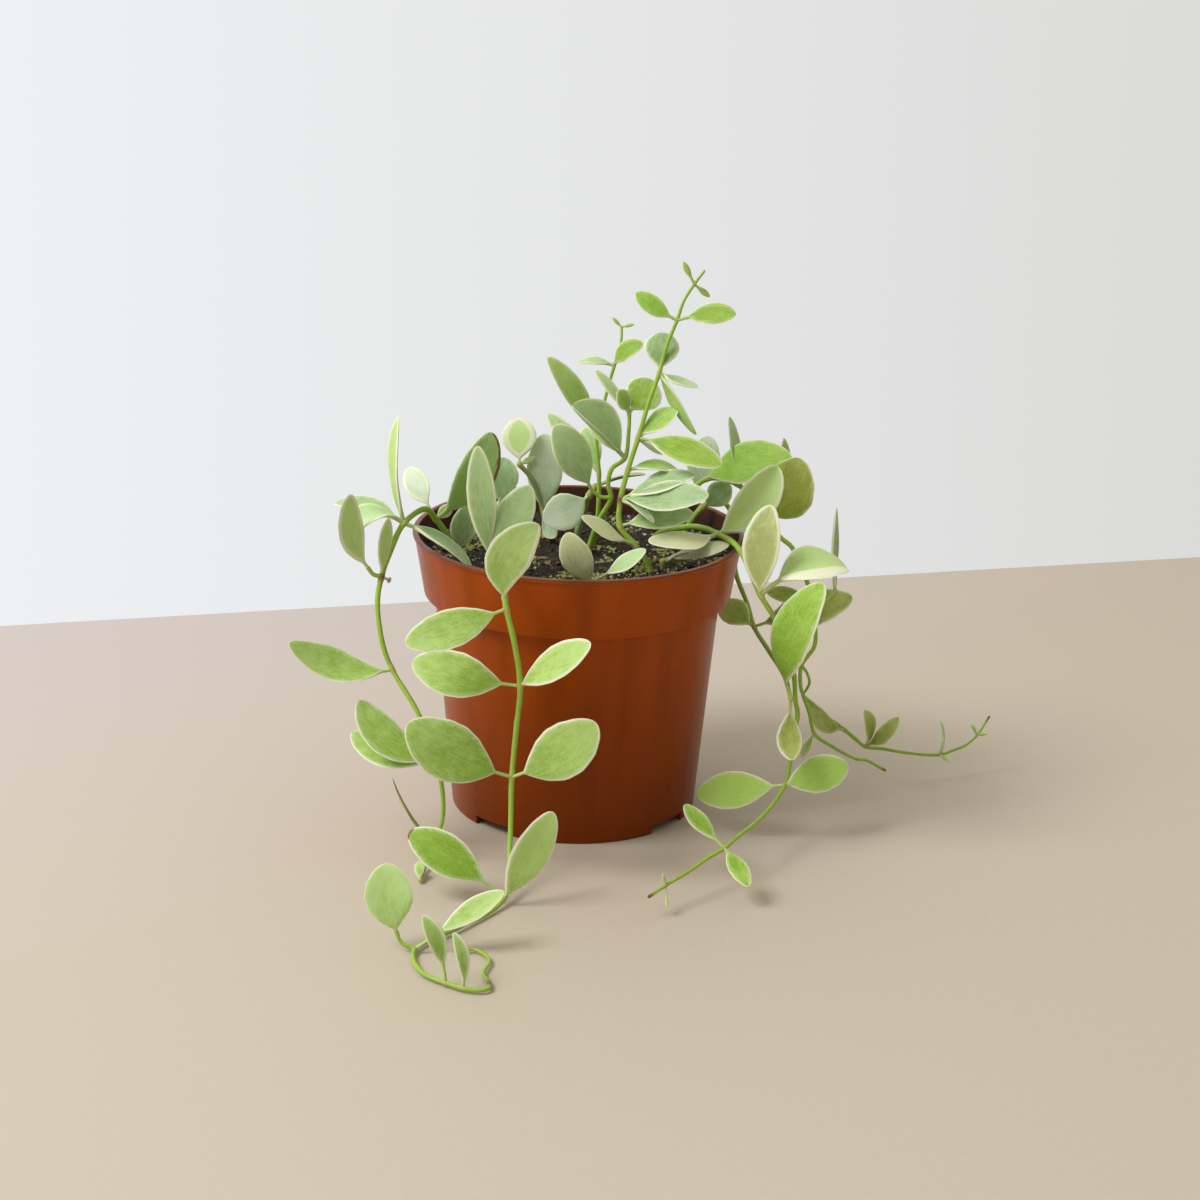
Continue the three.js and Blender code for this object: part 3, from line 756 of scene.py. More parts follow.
perlite_grains = scatter("perlite_grains", 1300, (0.14, 0.6), 0.8, perlite, 4, toward_rim)
bark_crumbs = scatter("bark_crumbs", 900, (0.3, 1.25), 0.7, bark, 9, lambda x, y: 1.0)
moss_tufts = scatter("moss_tufts", 2300, (0.2, 0.8), 0.9, moss, 12, mossy)
leaf_litter = scatter("leaf_litter", 60, (0.7, 1.8), 0.22, litter, 21, lambda x, y: 1.0)
pieces = (perlite_grains, bark_crumbs, moss_tufts, leaf_litter)
print("grains, bark, moss and litter:", sum(len(piece.data.polygons) for piece in pieces), "faces")

# %% [markdown]
# ## Leaves and stems
# A dischidia leaf is a fleshy oval blade on a very short stalk, and each has its own place, size and
# turn. Scattering copies of one leaf would be quick, but a real vine has no two alike, so every stem is
# a route of points and every leaf has its own short line of sizes. The blade is made as a net of rings
# from its stalk to its tip. Each point also stores where it is on the blade, in millimetres, so the
# material can draw veins and a cream margin that follow the leaf.

# %% Stems and leaves, in millimetres
# A stem is [part, [radius at the root, radius at the tip], route, leaves]. A leaf is [the point of the
# route it grows from, its tip as an offset x, y, z, width, turn of the blade in degrees, then cup, bow,
# sway and stalk in hundredths]: the cup lifts the margins, the bow bends the blade towards its upper
# face, the sway bends it sideways, and the stalk is its share of the leaf's length.
STEMS = [
    ["vine_front", [1.05, 0.5],
     [[-27, -25, 73], [-27, -25, 84], [-27, -31, 91], [-23, -48, 96], [-21, -57, 87],
      [-20.5, -58, 84], [-18, -59, 74], [-16, -59, 60], [-17, -60, 46], [-18, -63, 32],
      [-18, -71, 14], [-19, -86, 2.6], [-31, -104, 1.5], [-43, -119, 1.4], [-40, -133, 1.3],
      [-33, -139, 1.3], [-28, -142, 1.3], [-24, -143, 1.2], [-21, -142, 1.2], [-20.6, -139, 1.2],
      [-22.7, -133, 1.2], [-21.5, -124, 1.2], [-26, -118, 1.2], [-30, -119, 1.2]],
     [[2, -4, 3, 35, 9, 10, 10, 4, -2, 6], [2, 12, 6, 22, 12, 10, 10, 4, 0, 5],
      [4, 10, -6, 25, 13.5, 10, 15, 5, -16, 3], [5, -29.5, -8, -9, 12, 10, 15, 6, -2],
      [7, -33, 8, 4, 14, 5, 10, 3, -3, 16], [7, 21, -8, 17, 11, -30, 10, 4, 1, 4],
      [9, -31, -6, 19, 18, 0, 8, 3, -5, 15], [9, 25, -4, 20, 16.5, 0, 8, 3, 6, 13],
      [11, -29, 8, 17, 12.5, 10, 12, 4, 2, 23], [11, 14, 4, 26.5, 11.5, 15, 12, 4, 0, 4],
      [13, 25, 6, 16, 7, -30, 15, 2, 0, 30], [15, -6.5, 4, 18.5, 6.5, 40, 20, 4, 4, 25],
      [16, -3, 6, 14, 4.8, 40, 20, 4, 6, 10]]],
    ["vine_front", [0.7, 0.55],
     [[-43, -119, 1.4], [-47, -118, 3], [-48.5, -117, 6]],
     [[2, -2.5, 3.5, 19.5, 14, 0, 12, 4, -4, 3]]],
    ["vine_left", [1.05, 0.6],
     [[-39, -6, 73], [-39, -6, 84], [-42, -8, 92], [-45, -10, 97], [-48, -16, 102],
      [-54, -22, 99], [-58, -30, 91], [-60, -33, 85], [-61, -36, 78], [-59, -40, 65],
      [-56, -42, 58], [-47, -50, 46], [-41.5, -54, 32], [-39.5, -55, 23], [-39.5, -56, 14],
      [-42, -58, 7], [-44, -62, 2], [-45, -72, 1.2]],
     [[1, 4, 3, 16, 9, 20, 10, 4, 0], [3, 17, 10, 26, 13, 25, 12, 8, 6],
      [3, -9.7, 12, 13.2, 8, 0, 10, 5, 0, 28], [3, 5, 2, 4, 4, 0, 10, 0, 0],
      [5, -2, 4, 33, 11, -71, 10, 5, -1.5, 6], [5, -23, 14, 2, 10, 55, 15, 8, 0],
      [5, -16, -8, -3, 12, 60, 25, 18, 12], [5, 21, 2, -14.5, 11, -70, 10, 4, -3],
      [7, 2, 3, 18, 6, 50, 12, 5, -6], [7, 3, -1, -1, 2, 0, 0, 0, 0, 60],
      [10, -31, -6, 10, 12, 35, 45, -5, -10, 8], [12, -24, 6, 18, 12, 30, 12, 4, -15],
      [12, -27, 12, 5, 11, 30, 12, 4, -9], [15, -13, 2, 21, 8, -85, 10, 6, 0],
      [17, -1, 5, 4, 3, 0, 10, 0, 0]]],
    ["vine_left", [0.7, 0.6],
     [[-60, -33, 85], [-62.5, -34, 86], [-64, -34, 88]],
     [[2, -5, -2, 24, 10.5, 45, 12, 4, -14, 8]]],
    ["vine_tall", [1.1, 0.4],
     [[23, -17, 73], [23, -17, 84], [18, -17, 92], [13, -16, 98], [13, -14, 106], [15, -12, 115],
      [18, -10, 125], [21, -8, 136], [24, -6, 145], [26, -4, 153], [29, -3, 161], [31, -2, 167],
      [34, -1, 172], [37, 0, 176]],
     [[12, -3.7, 0, 7, 2, 0, 0, 0, 0, 30], [12, 5, 1, -4, 1.9, 0, 0, 0, 0, 20],
      [10, -13, 2, 8, 6.8, 20, 12, 4, -5, 16], [10, 18, -3, 3, 7.5, -20, 12, 4, -3, 20],
      [8, 0.5, 8, 11, 11, 0, 10, 4, 2], [8, 12, -3, -3.6, 8, -65, 12, -4, 0],
      [8, 12, -4, -18.5, 8, 70, 12, 6, -4, 4], [6, 12, 3, 9, 8, -35, 12, 4, 0],
      [6, 26, -8, -6, 10, -25, 12, 5, 0], [6, 8, 14, -7, 8, 110, 12, 5, 0],
      [5, 16, 4, -1, 8, -60, 15, 10, 0], [4, 23, -2, 9, 10, -50, 20, 4, 0],
      [4, 27, -10, 5, 11, -30, 12, 5, 2, 10], [3, 23, 2, 4, 9, -30, 12, 5, 0],
      [4, 10, -11, -4, 7, -75, 15, 5, 0], [2, -17, -7, 11, 9, 58, 12, 5, -6, 20]]],
    ["vine_slim", [0.85, 0.4],
     [[5, 9, 73], [5, 9, 84], [6, 4, 96], [6, 5, 109], [5, 7, 121], [7, 9, 131], [10, 11, 143],
      [12, 12, 151], [12, 13, 155]],
     [[8, -3, 0, 3, 1.2, 0, 0, 0, 0], [8, 4, 0, 1, 1.2, 0, 0, 0, 0],
      [6, 9, -3, 7.8, 7, -30, 12, 6, -9, 6], [6, -12, 2, 0, 7, 65, 12, 8, 0],
      [4, -16, -4, 26, 8, 25, 15, 4, 2, 6], [3, -5, 8, 13, 7, 0, 10, 4, 0],
      [3, -17, 9, 17, 7, 20, 10, 3, 0]]],
    ["vine_middle", [1, 0.55],
     [[3, -3, 73], [3, -3, 84], [4, -4, 89], [6, -6, 96], [10, -8, 105], [9, -8, 109],
      [10, -7, 114], [14, -5, 117], [15, -4, 125], [15, -3, 131], [14, -2, 135]],
     [[7, -13, 4, 13, 7, 25, 12, 5, 0], [7, -17, -6, 18, 12.5, 45, 95, 2, 0],
      [9, -11, 3, 13, 4.2, 30, 12, 3, 0], [9, 7.5, 5, 9.5, 12, 0, 10, 4, 0],
      [9, -3.5, -2, 8, 6, 30, 10, 3, 0]]],
    ["vine_middle", [0.7, 0.6],
     [[10, -8, 105], [7, -8, 105], [4, -8, 107]],
     [[2, -12, -4, 22, 12, 15, 10, 5, 0]]],
    ["cutting_centre", [1.2, 1],
     [[-1, 14, 73], [-1, 14, 84], [1, 14, 92], [3, 11, 100], [5, 11, 103]],
     [[3, -14.5, -7.5, -6.5, 12, 0, 10, 5, -5], [4, 16, -2, 5, 9, -85, 10, 6, 0]]],
    ["cutting_back_left", [1.1, 0.8],
     [[-11, 21, 73], [-11, 21, 84], [-12, 23, 91], [-16, 22, 102], [-20, 21, 107]],
     [[2, 0, 4, 25, 12, 10, 10, 3, 0, 3], [2, 5, -18, -3, 8, 40, 10, 4, 0],
      [4, -0.5, 6, 14, 11.5, 0, 8, 4, 0], [4, 5, 2, 2, 2, 0, 0, 0, 0]]],
    ["cutting_left", [1.1, 0.8],
     [[-25, 8, 73], [-25, 8, 84], [-26, 10, 91], [-26, 10, 96]],
     [[3, 1, 5, 15, 11, 10, 10, 4, 0], [2, 4, 2, 7, 7, 0, 10, 4, 0]]],
    ["cutting_front", [1.1, 0.9],
     [[5.5, -32, 73], [5.5, -32, 81], [4.5, -32, 84.5]],
     [[2, -7.5, -2, 16.5, 10, -15, 10, 5, -3, 3], [2, 16.5, 2, 10.5, 7.5, -50, 10, 4, 5, 28]]],
    ["cutting_right", [1.1, 0.9],
     [[27, -12, 73], [27, -12, 82], [27, -13, 86]],
     [[2, 20, -8, 8, 9, 120, 12, 4, -8], [2, 11, -2, 4, 6, 60, 10, 3, 0]]],
    ["vine_right", [1.05, 0.5],
     [[25, 19, 73], [25, 19, 84], [34, 8, 91], [39, -2, 94], [44, -12, 95], [50, -24, 94],
      [57, -30, 81], [62, -30, 73], [66, -28, 63], [69, -25, 53], [70, -23, 44], [71, -22, 39],
      [70, -24, 32], [69, -28, 26], [67, -35, 20], [61, -45, 15], [51, -63, 14], [47, -68, 12.5],
      [42, -72, 11], [36, -79, 9.5], [29, -86, 8], [24, -92, 7]],
     [[4, 18, 6, 21, 13.5, 20, 40, 5, 3, 5], [4, -22, -14, 1, 13, 60, 10, 4, -8],
      [4, 11, 10, -2, 8, -75, 10, 4, 0], [6, 2.3, 4, 28, 12, -20, 15, 4, -4, 4],
      [6, 27, 8, 7, 17.5, -50, 20, 18, 0, 22], [14, -27, 10, -8, 12, 10, 10, 4, 0],
      [14, 20.4, 8, 4, 12, -10, 10, 2, 0, 3], [17, -12, 12, 9, 6, 30, 12, 4, -4, 20],
      [17, 6.7, -16.5, -5, 6, -20, 12, 4, 0, 14], [20, -1, 0, 4, 1.2, 0, 0, 0, 0],
      [20, 0.5, -5, -4.5, 1.2, 0, 0, 0, 0, 50]]],
    ["vine_right_back", [0.95, 0.7],
     [[34, 20, 73], [34, 20, 84], [40, 24, 93], [46, 27, 95], [51, 29, 88], [52, 28, 78],
      [52, 26, 71], [56, 18, 62], [58, 10, 57], [62, -4, 54], [66, -17, 51], [67, -25, 50],
      [68, -30, 47]],
     [[2, 9, 2, 8, 9, 20, 10, 4, 0], [8, -10.6, 8, 6, 10, 20, 10, 4, -4],
      [8, 31, -6, 13, 12, -10, 10, 5, 0], [11, 8.5, -15, 38.5, 15, -35, 12, 10, -4, 4],
      [12, 0, -14, -15, 8, 0, 20, -24, 2, 14]]],
    ["vine_far_right", [0.95, 0.5],
     [[30, 26, 73], [30, 26, 84], [35, 24, 96], [41, 23, 103], [51, 18, 103], [58, 14, 96],
      [65, 10, 88], [69, 8, 85], [74, 4, 75], [76, 2, 69], [77, 0, 62], [77, -2, 55],
      [73, -4, 49], [73, -5, 42], [74, -6, 39], [76, -7, 34], [78, -8, 27], [84, -6, 22],
      [93, -2, 16], [96, 0, 15], [103, 4, 10]],
     [[3, 27, -10, 10, 14.5, -20, 10, 6, -5, 5], [4, -3, 10, 20, 8, 60, 10, 3, 0],
      [5, 11.3, -9, 20, 18.5, -10, 10, 6, 16, 4], [5, 8, 11, 21, 8, 50, 10, 14, 0],
      [9, -15.5, -8, 5, 6.2, 30, 10, 4, 0], [16, -4, -4, -7, 5, 60, 10, 0, 0]]],
    ["vine_far_right", [0.65, 0.55],
     [[76, 2, 69], [80, 0.5, 69.5], [83, 0, 72.5]],
     [[2, -1, 2, 28, 10, 75, 10, 3, -5, 4]]],
    ["vine_far_right", [0.5, 0.45],
     [[73, -4, 49], [75, -3, 46], [76, -2, 42], [74, -2, 38]],
     []],
    ["vine_far_right", [0.75, 0.4],
     [[74, -6, 39], [78, 3, 33], [84, 12, 25], [90, 14, 20], [94, 13, 17], [97, 12, 15],
      [103, 13, 14], [111, 15, 12], [123, 19, 10], [128, 21, 11], [132, 23, 12], [136, 25, 15],
      [140, 27, 21]],
     [[3, -14, -14, 13.5, 8.5, 35, 10, -2, -6], [5, -1.6, -4, 14.5, 6.5, 50, 10, 10, 4],
      [5, 10, -6, 13, 7, -45, 10, 3, 8], [8, -1, -2, 13, 4, 75, 0, 10, 0],
      [8, 3, -6, 0, 1.6, 0, 0, 0, 0], [11, -2, 0, 4, 1.2, 0, 0, 0, 0],
      [11, 3, -3, 2, 1.2, 0, 0, 0, 0]]],
    ["cutting_back_right", [1.1, 0.9],
     [[28, 33, 76], [28, 33, 84], [33, 34, 92], [38, 34, 95]],
     [[3, 4, 3, 19, 11, 0, 10, 4, 0]]],
]

# The look of each leaf, in the same order: a letter for its green, the width of its cream margin on
# the left and on the right in quarters of a millimetre (a to z are 10 to 35), how pale it is in tenths,
# and a t or an e where its tip or its edge has dried.
# Some leaves take a paler or a deeper letter and paleness than their own green: painted light on leaves
# that the lamp leaves in shade, and painted shade on leaves that it lights from behind.
LOOKS = [
    "g335 g335 p354 f224 f223 f335 f223 f334 d222t f326 f225 f244 f234",
    "p115",
    "h24 g111e s446 f22 f435 h224 g436 h334 p335 k00 f224 f223 f223 o22 f11",
    "p556",
    "y00 y00 b112 d113 h223 g225 f125 f222 d224 f22 f22 h335 h224 g224 g334 u227",
    "y00 y00 d111 g12 f125 g22 g22",
    "p225 g225 g225 f223 f222",
    "g225",
    "s225 o11",
    "s225 t224 p997 f11",
    "h224 h22",
    "u225 g225",
    "c447 u22",
    "p447 u337 g22 u441 p3q6 b227 b226 d112 d113 o00 o00",
    "h224 f224 o224 b132 o134",
    "b123 g22 o112 o22 o001 f12",
    "h322",
    "",
    "o11 o11 o11 f11 y00 y00 y00",
    "s22",
]
GREENS = {  # the green at the stalk, and the paler green that mottles it towards the tip
    "f": ("#8db43b", "#b8d67b"),  # fresh growth
    "b": ("#8bb933", "#b3d967"),  # brightest, at the growing tips
    "d": ("#81a829", "#a5c755"),  # deep green
    "g": ("#8db45c", "#b9d49a"),  # grey green, older
    "h": ("#84a660", "#afca98"),  # darker grey green
    "s": ("#b0c8a0", "#d8e5cc"),  # silvery, the oldest
    "t": ("#80a86a", "#b2cba6"),  # sea green, in shade
    "o": ("#8b9c31", "#b3bd67"),  # olive
    "u": ("#a9b56c", "#d8dda9"),  # beige, sun-bleached
    "c": ("#b8c884", "#f0f0da"),  # mostly cream
    "p": ("#a0c857", "#c6e393"),  # pale and new
    "k": ("#6e5430", "#97784a"),  # dried
    "y": ("#84a72f", "#adcf57"),  # young stem
    "m": ("#7c9a5f", "#a8bc85"),  # older stem
}
print(len(STEMS), "stems and", sum(len(leaves) for *_, leaves in STEMS), "leaves")

# %% Leaf shape
PETIOLE = 12  # a leaf's stalk in hundredths of its length, where its record gives none
PETIOLE_RADIUS, PETIOLE_LIMIT = 0.55, 0.25  # in mm, and the most of a narrow leaf's width
BLADE_THICKNESS, THINNEST, THICKEST = 0.13, 0.8, 1.7  # of its width, and the limits in mm
STALK_SHARE = 0.9  # of the stalk's radius, carried on into the blade until it fades at the tip
WIDEST = 1.1  # a power above 1 moves the widest place toward the tip
BASE_TAPER, TIP_EASE = 0.78, 0.26  # the smaller the power, the blunter the end, and the tip is blunter
TIP_DEPTH, TIP_ROUND = 0.42, 6  # half the thickness at the tip, as a share, and how late it rounds off
SECTION = 2.3  # 2 would be an ellipse, and more is fuller
UPPER_SWELL, LOWER_SWELL = 0.9, 1.05  # the underside is the fuller one
CUP_CURVE = 1.5
WAVE, WAVES = 0.035, 1.3  # how far a margin waves, as a share of half the width, and how often
NIBBLE, NIBBLES = 0.012, 5.3  # the same for the small unevenness of the outline
USUAL_PALENESS, PALER_TIP = 0.4, 0.35  # where the look gives none, and how much a blade gains to its tip
DRIED, DRIED_FROM = 2.0, 0.35  # mm of a dried tip or edge, and where along the blade an edge starts
MARGIN_STEPS = 4  # to a millimetre, in a look's two margins
LEAF_SHIFT, LEAF_DEPTH = 7.31, 97  # mm, how deep in the pattern the next leaf is cut, and the deepest
FACING = np.array([0, -1, 0.33]) / math.hypot(1, 0.33)  # the upper face of an unturned blade
ROWS, SIDE_COLUMNS, STALK_ROWS = 30, 11, 3


def unit(vectors):
    """The vectors, each brought to a length of one."""
    return vectors / np.linalg.norm(vectors, axis=-1, keepdims=True)


def leaf_net(base, sizes, look, seed):
    """A leaf as rings of points, and what each point stores for the material."""
    _, dx, dy, dz, width, turn, cup, bow, sway = sizes[:9]
    start = (sizes[9] if len(sizes) > 9 else PETIOLE) / 100
    rng = np.random.default_rng(seed)
    reach = np.array([dx, dy, dz], float)
    length = np.linalg.norm(reach)
    axis = reach / length
    upright = unit(FACING - axis * (FACING @ axis))
    side = np.cross(axis, upright)
    face = upright * math.cos(math.radians(turn)) + side * math.sin(math.radians(turn))
    arc = (face * bow + side * sway) / 100 * length

    thickness = min(max(width * BLADE_THICKNESS, THINNEST), THICKEST)
    stalk = min(PETIOLE_RADIUS, PETIOLE_LIMIT * width)
    rows = 0.5 - 0.5 * np.cos(np.pi * np.linspace(0, 1, ROWS))
    t = np.concatenate([np.linspace(0, start, STALK_ROWS + 1)[:-1], start + (1 - start) * rows])
    s = (t - start) / (1 - start)
    blade = s.clip(0, 1)
    outline = np.sin(np.pi * blade**WIDEST).clip(0) ** (BASE_TAPER - TIP_EASE * blade)
    half = np.sqrt((outline * width / 2) ** 2 + (stalk * (1 - blade) * STALK_SHARE) ** 2)
    deep = max(stalk, thickness / 2) * (1 - blade) + TIP_DEPTH * thickness * blade
    deep = deep * np.sqrt(1 - blade**TIP_ROUND)

    centre = base + reach * t[:, None] + arc * (4 * t * (1 - t))[:, None]
    forward = unit(reach + arc * (4 * (1 - 2 * t))[:, None])
    up = unit(face - forward * (forward @ face)[:, None])
    across = np.cross(forward, up)

    spread = -np.cos(np.pi * np.linspace(0, 1, SIDE_COLUMNS))
    ring_c = np.concatenate([spread, spread[-2:0:-1]])
    ring_top = np.concatenate([np.ones(SIDE_COLUMNS), -np.ones(SIDE_COLUMNS - 2)])
    swell = ring_top * (1 - np.abs(ring_c) ** SECTION).clip(0) ** 0.5
    swell = np.where(ring_top > 0, swell * UPPER_SWELL, swell * LOWER_SWELL)
    wave = WAVE * np.sin(2 * np.pi * (WAVES * s[:, None] + rng.uniform())) * ring_c
    nibble = 1 + NIBBLE * np.sin(2 * np.pi * (NIBBLES * s[:, None] + rng.uniform() + 0.3 * ring_c))
    lift = (cup / 100 * np.abs(ring_c) ** CUP_CURVE + wave) * half[:, None]
    points = (
        centre[:, None]
        + across[:, None] * (half[:, None] * ring_c * nibble)[..., None]
        + up[:, None] * (lift + deep[:, None] * swell)[..., None]
    )
    on = np.ones_like(points[..., 0])
    inset = half[:, None] * (1 - np.abs(ring_c))
    inside_margin = inset - np.where(ring_c < 0, int(look[1], 36), int(look[2], 36)) / MARGIN_STEPS
    own_depth = seed * LEAF_SHIFT % LEAF_DEPTH
    place = np.stack([half[:, None] * ring_c, (t * length)[:, None] * on, on * own_depth], -1)
    where = np.stack([inside_margin, s[:, None] * on, (ring_top < 0) * on], -1)
    paleness = int(look[3]) / 10 if len(look) > 3 else USUAL_PALENESS
    dry = np.zeros_like(on)
    if look.endswith("t"):
        dry = (1 - (1 - t) * length / DRIED)[:, None] * on
    if look.endswith("e"):
        dry = np.where(ring_c > 0, 1 - inset / DRIED, 0) * (blade > DRIED_FROM)[:, None]
    aged = np.stack([(paleness + PALER_TIP * blade)[:, None] * on, dry.clip(0, 1), 0 * on], -1)
    return points, place, where, aged


print("a leaf is a net of", STALK_ROWS + ROWS, "rings of", 2 * SIDE_COLUMNS - 2, "points")

# %% Stem shape
STEM_SIDES = 14
STEM_STEP = 0.9  # mm between rings
STEM_SLIMMING = 0.97  # of the given radius, to stay close to the measured model's six-sided stems
DOME = [(0.55, 0.83), (0.9, 0.44), (1.0, 0.04)]  # how far out and how wide, in radii, a tip's rings are
SWELLING, SWELLING_REACH = 0.22, 1.1  # a node is this much thicker, over this many mm
BULGE, BULGE_RUN = 0.03, 2.7  # of the radius, and in mm: slow bulges
RIPPLE, RIPPLE_RUN = 0.02, 1.1  # and quicker ripples on them
STEM_SHIFT, STEM_DEPTH = 3.7, 89  # mm, for the pattern, as for the leaves
SCAR_REACH = 1.5  # mm of brown to each side of a withered place
SCARS = {0: (19, 23), 2: (7,), 4: (4,), 13: (21,), 15: (20,), 18: (12,)}  # their route points, by stem


def stem_line(route):
    """A smooth line through the points of a route, and its place in the route, 0 to 1."""
    p = np.array(route, float)
    last = len(p) - 1
    padded = np.vstack([2 * p[0] - p[1], p, 2 * p[last] - p[last - 1]])
    line, place = [], []
    for i in range(last):
        p0, p1, p2, p3 = padded[i : i + 4]
        d0, d1, d2 = (max(np.linalg.norm(q - r) ** 0.5, 1e-4) for q, r in ((p0, p1), (p1, p2), (p2, p3)))
        leaving = ((p1 - p0) / d0 - (p2 - p0) / (d0 + d1) + (p2 - p1) / d1) * d1
        arriving = ((p2 - p1) / d1 - (p3 - p1) / (d1 + d2) + (p3 - p2) / d2) * d1
        steps = max(3, round(np.linalg.norm(p2 - p1) / STEM_STEP))
        for u in np.arange(steps) / steps:
            line.append(
                p1 + leaving * u + (-3 * p1 + 3 * p2 - 2 * leaving - arriving) * u**2
                + (2 * p1 - 2 * p2 + leaving + arriving) * u**3
            )
            place.append((i + u) / last)
    return np.array(line + [p[last]]), np.array(place + [1.0])


def tube(line, radii, sides):
    """Rings of points round a line, turning as little as they can, with a domed far end."""
    forward = unit(np.gradient(line, axis=0))
    side = np.array([1.0, 0, 0]) if abs(forward[0][0]) < 0.9 else np.array([0, 1.0, 0])
    rings = []
    angles = 2 * np.pi * np.arange(sides) / sides
    for centre, way, radius in zip(line, forward, radii):
        side = unit(side - way * (side @ way))
        up = np.cross(way, side)
        wheel = np.cos(angles)[:, None] * side + np.sin(angles)[:, None] * up
        rings.append(centre + wheel * radius)
    for out, share in DOME:
        rings.append(line[-1] + forward[-1] * radii[-1] * out + wheel * radii[-1] * share)
    return np.array(rings)


def stem_net(radii, route, nodes, scars, seed):
    """A stem as rings of points, and what each point stores for the material."""
    line, place = stem_line(route)
    run = np.concatenate([[0], np.cumsum(np.linalg.norm(np.diff(line, axis=0), axis=1))])
    radius = (radii[0] + (radii[1] - radii[0]) * place) * STEM_SLIMMING
    knot, scar = np.zeros(len(line)), np.zeros(len(line))
    for share, at_points, spread in ((knot, nodes, SWELLING_REACH), (scar, scars, SCAR_REACH)):
        for n in at_points:
            far = run - np.interp(n / (len(route) - 1), place, run)
            np.maximum(share, np.exp(-((far / spread) ** 2)), out=share)
    rng = np.random.default_rng(seed)
    bulges = BULGE * np.sin(run / BULGE_RUN + rng.uniform(0, 6))
    uneven = 1 + bulges + RIPPLE * np.sin(run / RIPPLE_RUN)
    rings = tube(line, radius * uneven * (1 + SWELLING * knot), STEM_SIDES)
    run, knot, scar = (np.pad(v, (0, len(rings) - len(v)), mode="edge") for v in (run, knot, scar))
    on = np.ones(rings.shape[:2])
    round_mm = np.cos(2 * np.pi * np.arange(STEM_SIDES) / STEM_SIDES) * radius.mean()
    at = np.stack([on * round_mm, run[:, None] * on, on * (seed * STEM_SHIFT % STEM_DEPTH)], -1)
    where = np.stack([knot[:, None] * on, 0 * on, scar[:, None] * on], -1)
    return rings, at, where, 0 * where


print("a stem ring every", STEM_STEP, "mm")

# %% [markdown]
# ## The plant's skin
# The blade is waxy and lets a little light into its flesh, with a green core and a cream margin where
# the cells hold no green. Inside the margin the green comes in as a soft pale band, then as fine streaks
# and blotches that run from stalk to tip. Painting this on would need one image a leaf. The places
# stored on the net let one material draw it on all of them, with streaks three quarters of a millimetre
# apart and pores a third of a millimetre wide.

# %% Leaf material, what the net stores
fleshy_leaf = new_material("waxy_fleshy_leaf")
stored = add(fleshy_leaf, "ShaderNodeAttribute", attribute_name="place")
stored_where = add(fleshy_leaf, "ShaderNodeAttribute", attribute_name="where")
stored_aged = add(fleshy_leaf, "ShaderNodeAttribute", attribute_name="aged")
stored_tone = add(fleshy_leaf, "ShaderNodeAttribute", attribute_name="tone")
stored_pale = add(fleshy_leaf, "ShaderNodeAttribute", attribute_name="pale")
spot = add(fleshy_leaf, "ShaderNodeSeparateXYZ", {0: stored_where.outputs["Vector"]})
age = add(fleshy_leaf, "ShaderNodeSeparateXYZ", {0: stored_aged.outputs["Vector"]})
print("the leaf material reads five stored values a point, such as", stored.attribute_name)

# %% Leaf material, mottled greens and pores
STREAK_MM, STREAK_RUN_MM, BLOTCH_MM, PORE_MM = 0.75, 3.2, 4.0, 0.35
along_leaf = add(
    fleshy_leaf,
    "ShaderNodeMapping",
    {"Vector": stored.outputs["Vector"], "Scale": (1 / STREAK_MM, 1 / STREAK_RUN_MM, 1.0)},
)
streaks = add(
    fleshy_leaf,
    "ShaderNodeTexNoise",
    {
        "Vector": along_leaf.outputs["Vector"],
        "Scale": 1.0,
        "Detail": 5,
        "Roughness": 0.72,
        "Distortion": 0.5,
    },
)
blotches = add(
    fleshy_leaf,
    "ShaderNodeTexNoise",
    {"Vector": stored.outputs["Vector"], "Scale": 1 / BLOTCH_MM, "Detail": 2},
)
mottle = add(
    fleshy_leaf,
    "ShaderNodeMath",
    {0: blotches.outputs["Fac"], 1: 0.5, 2: streaks.outputs["Fac"]},
    operation="MULTIPLY_ADD",
)
paleness = add(
    fleshy_leaf, "ShaderNodeMath", {0: mottle.outputs[0], 1: age.outputs["X"]}, operation="ADD"
)
pale_share = add(
    fleshy_leaf,
    "ShaderNodeMapRange",
    {"Value": paleness.outputs[0], "From Min": 0.95, "From Max": 1.6},
    interpolation_type="SMOOTHSTEP",
)
greens = add(
    fleshy_leaf,
    "ShaderNodeMix",
    {0: pale_share.outputs["Result"], A: stored_tone.outputs["Color"], B: stored_pale.outputs["Color"]},
    data_type="RGBA",
)
pores = add(
    fleshy_leaf,
    "ShaderNodeTexNoise",
    {"Vector": stored.outputs["Vector"], "Scale": 1 / PORE_MM, "Detail": 1},
)
pore_share = add(
    fleshy_leaf,
    "ShaderNodeMapRange",
    {"Value": pores.outputs["Fac"], "From Min": 0.5, "From Max": 0.72, "To Max": 0.28},
)
dotted = add(
    fleshy_leaf,
    "ShaderNodeMix",
    {0: pore_share.outputs["Result"], A: greens.outputs[MIXED], B: colour("#d6e0b0")},
    data_type="RGBA",
)
print("leaf streaks", STREAK_MM, "mm apart, pores", PORE_MM, "mm wide")

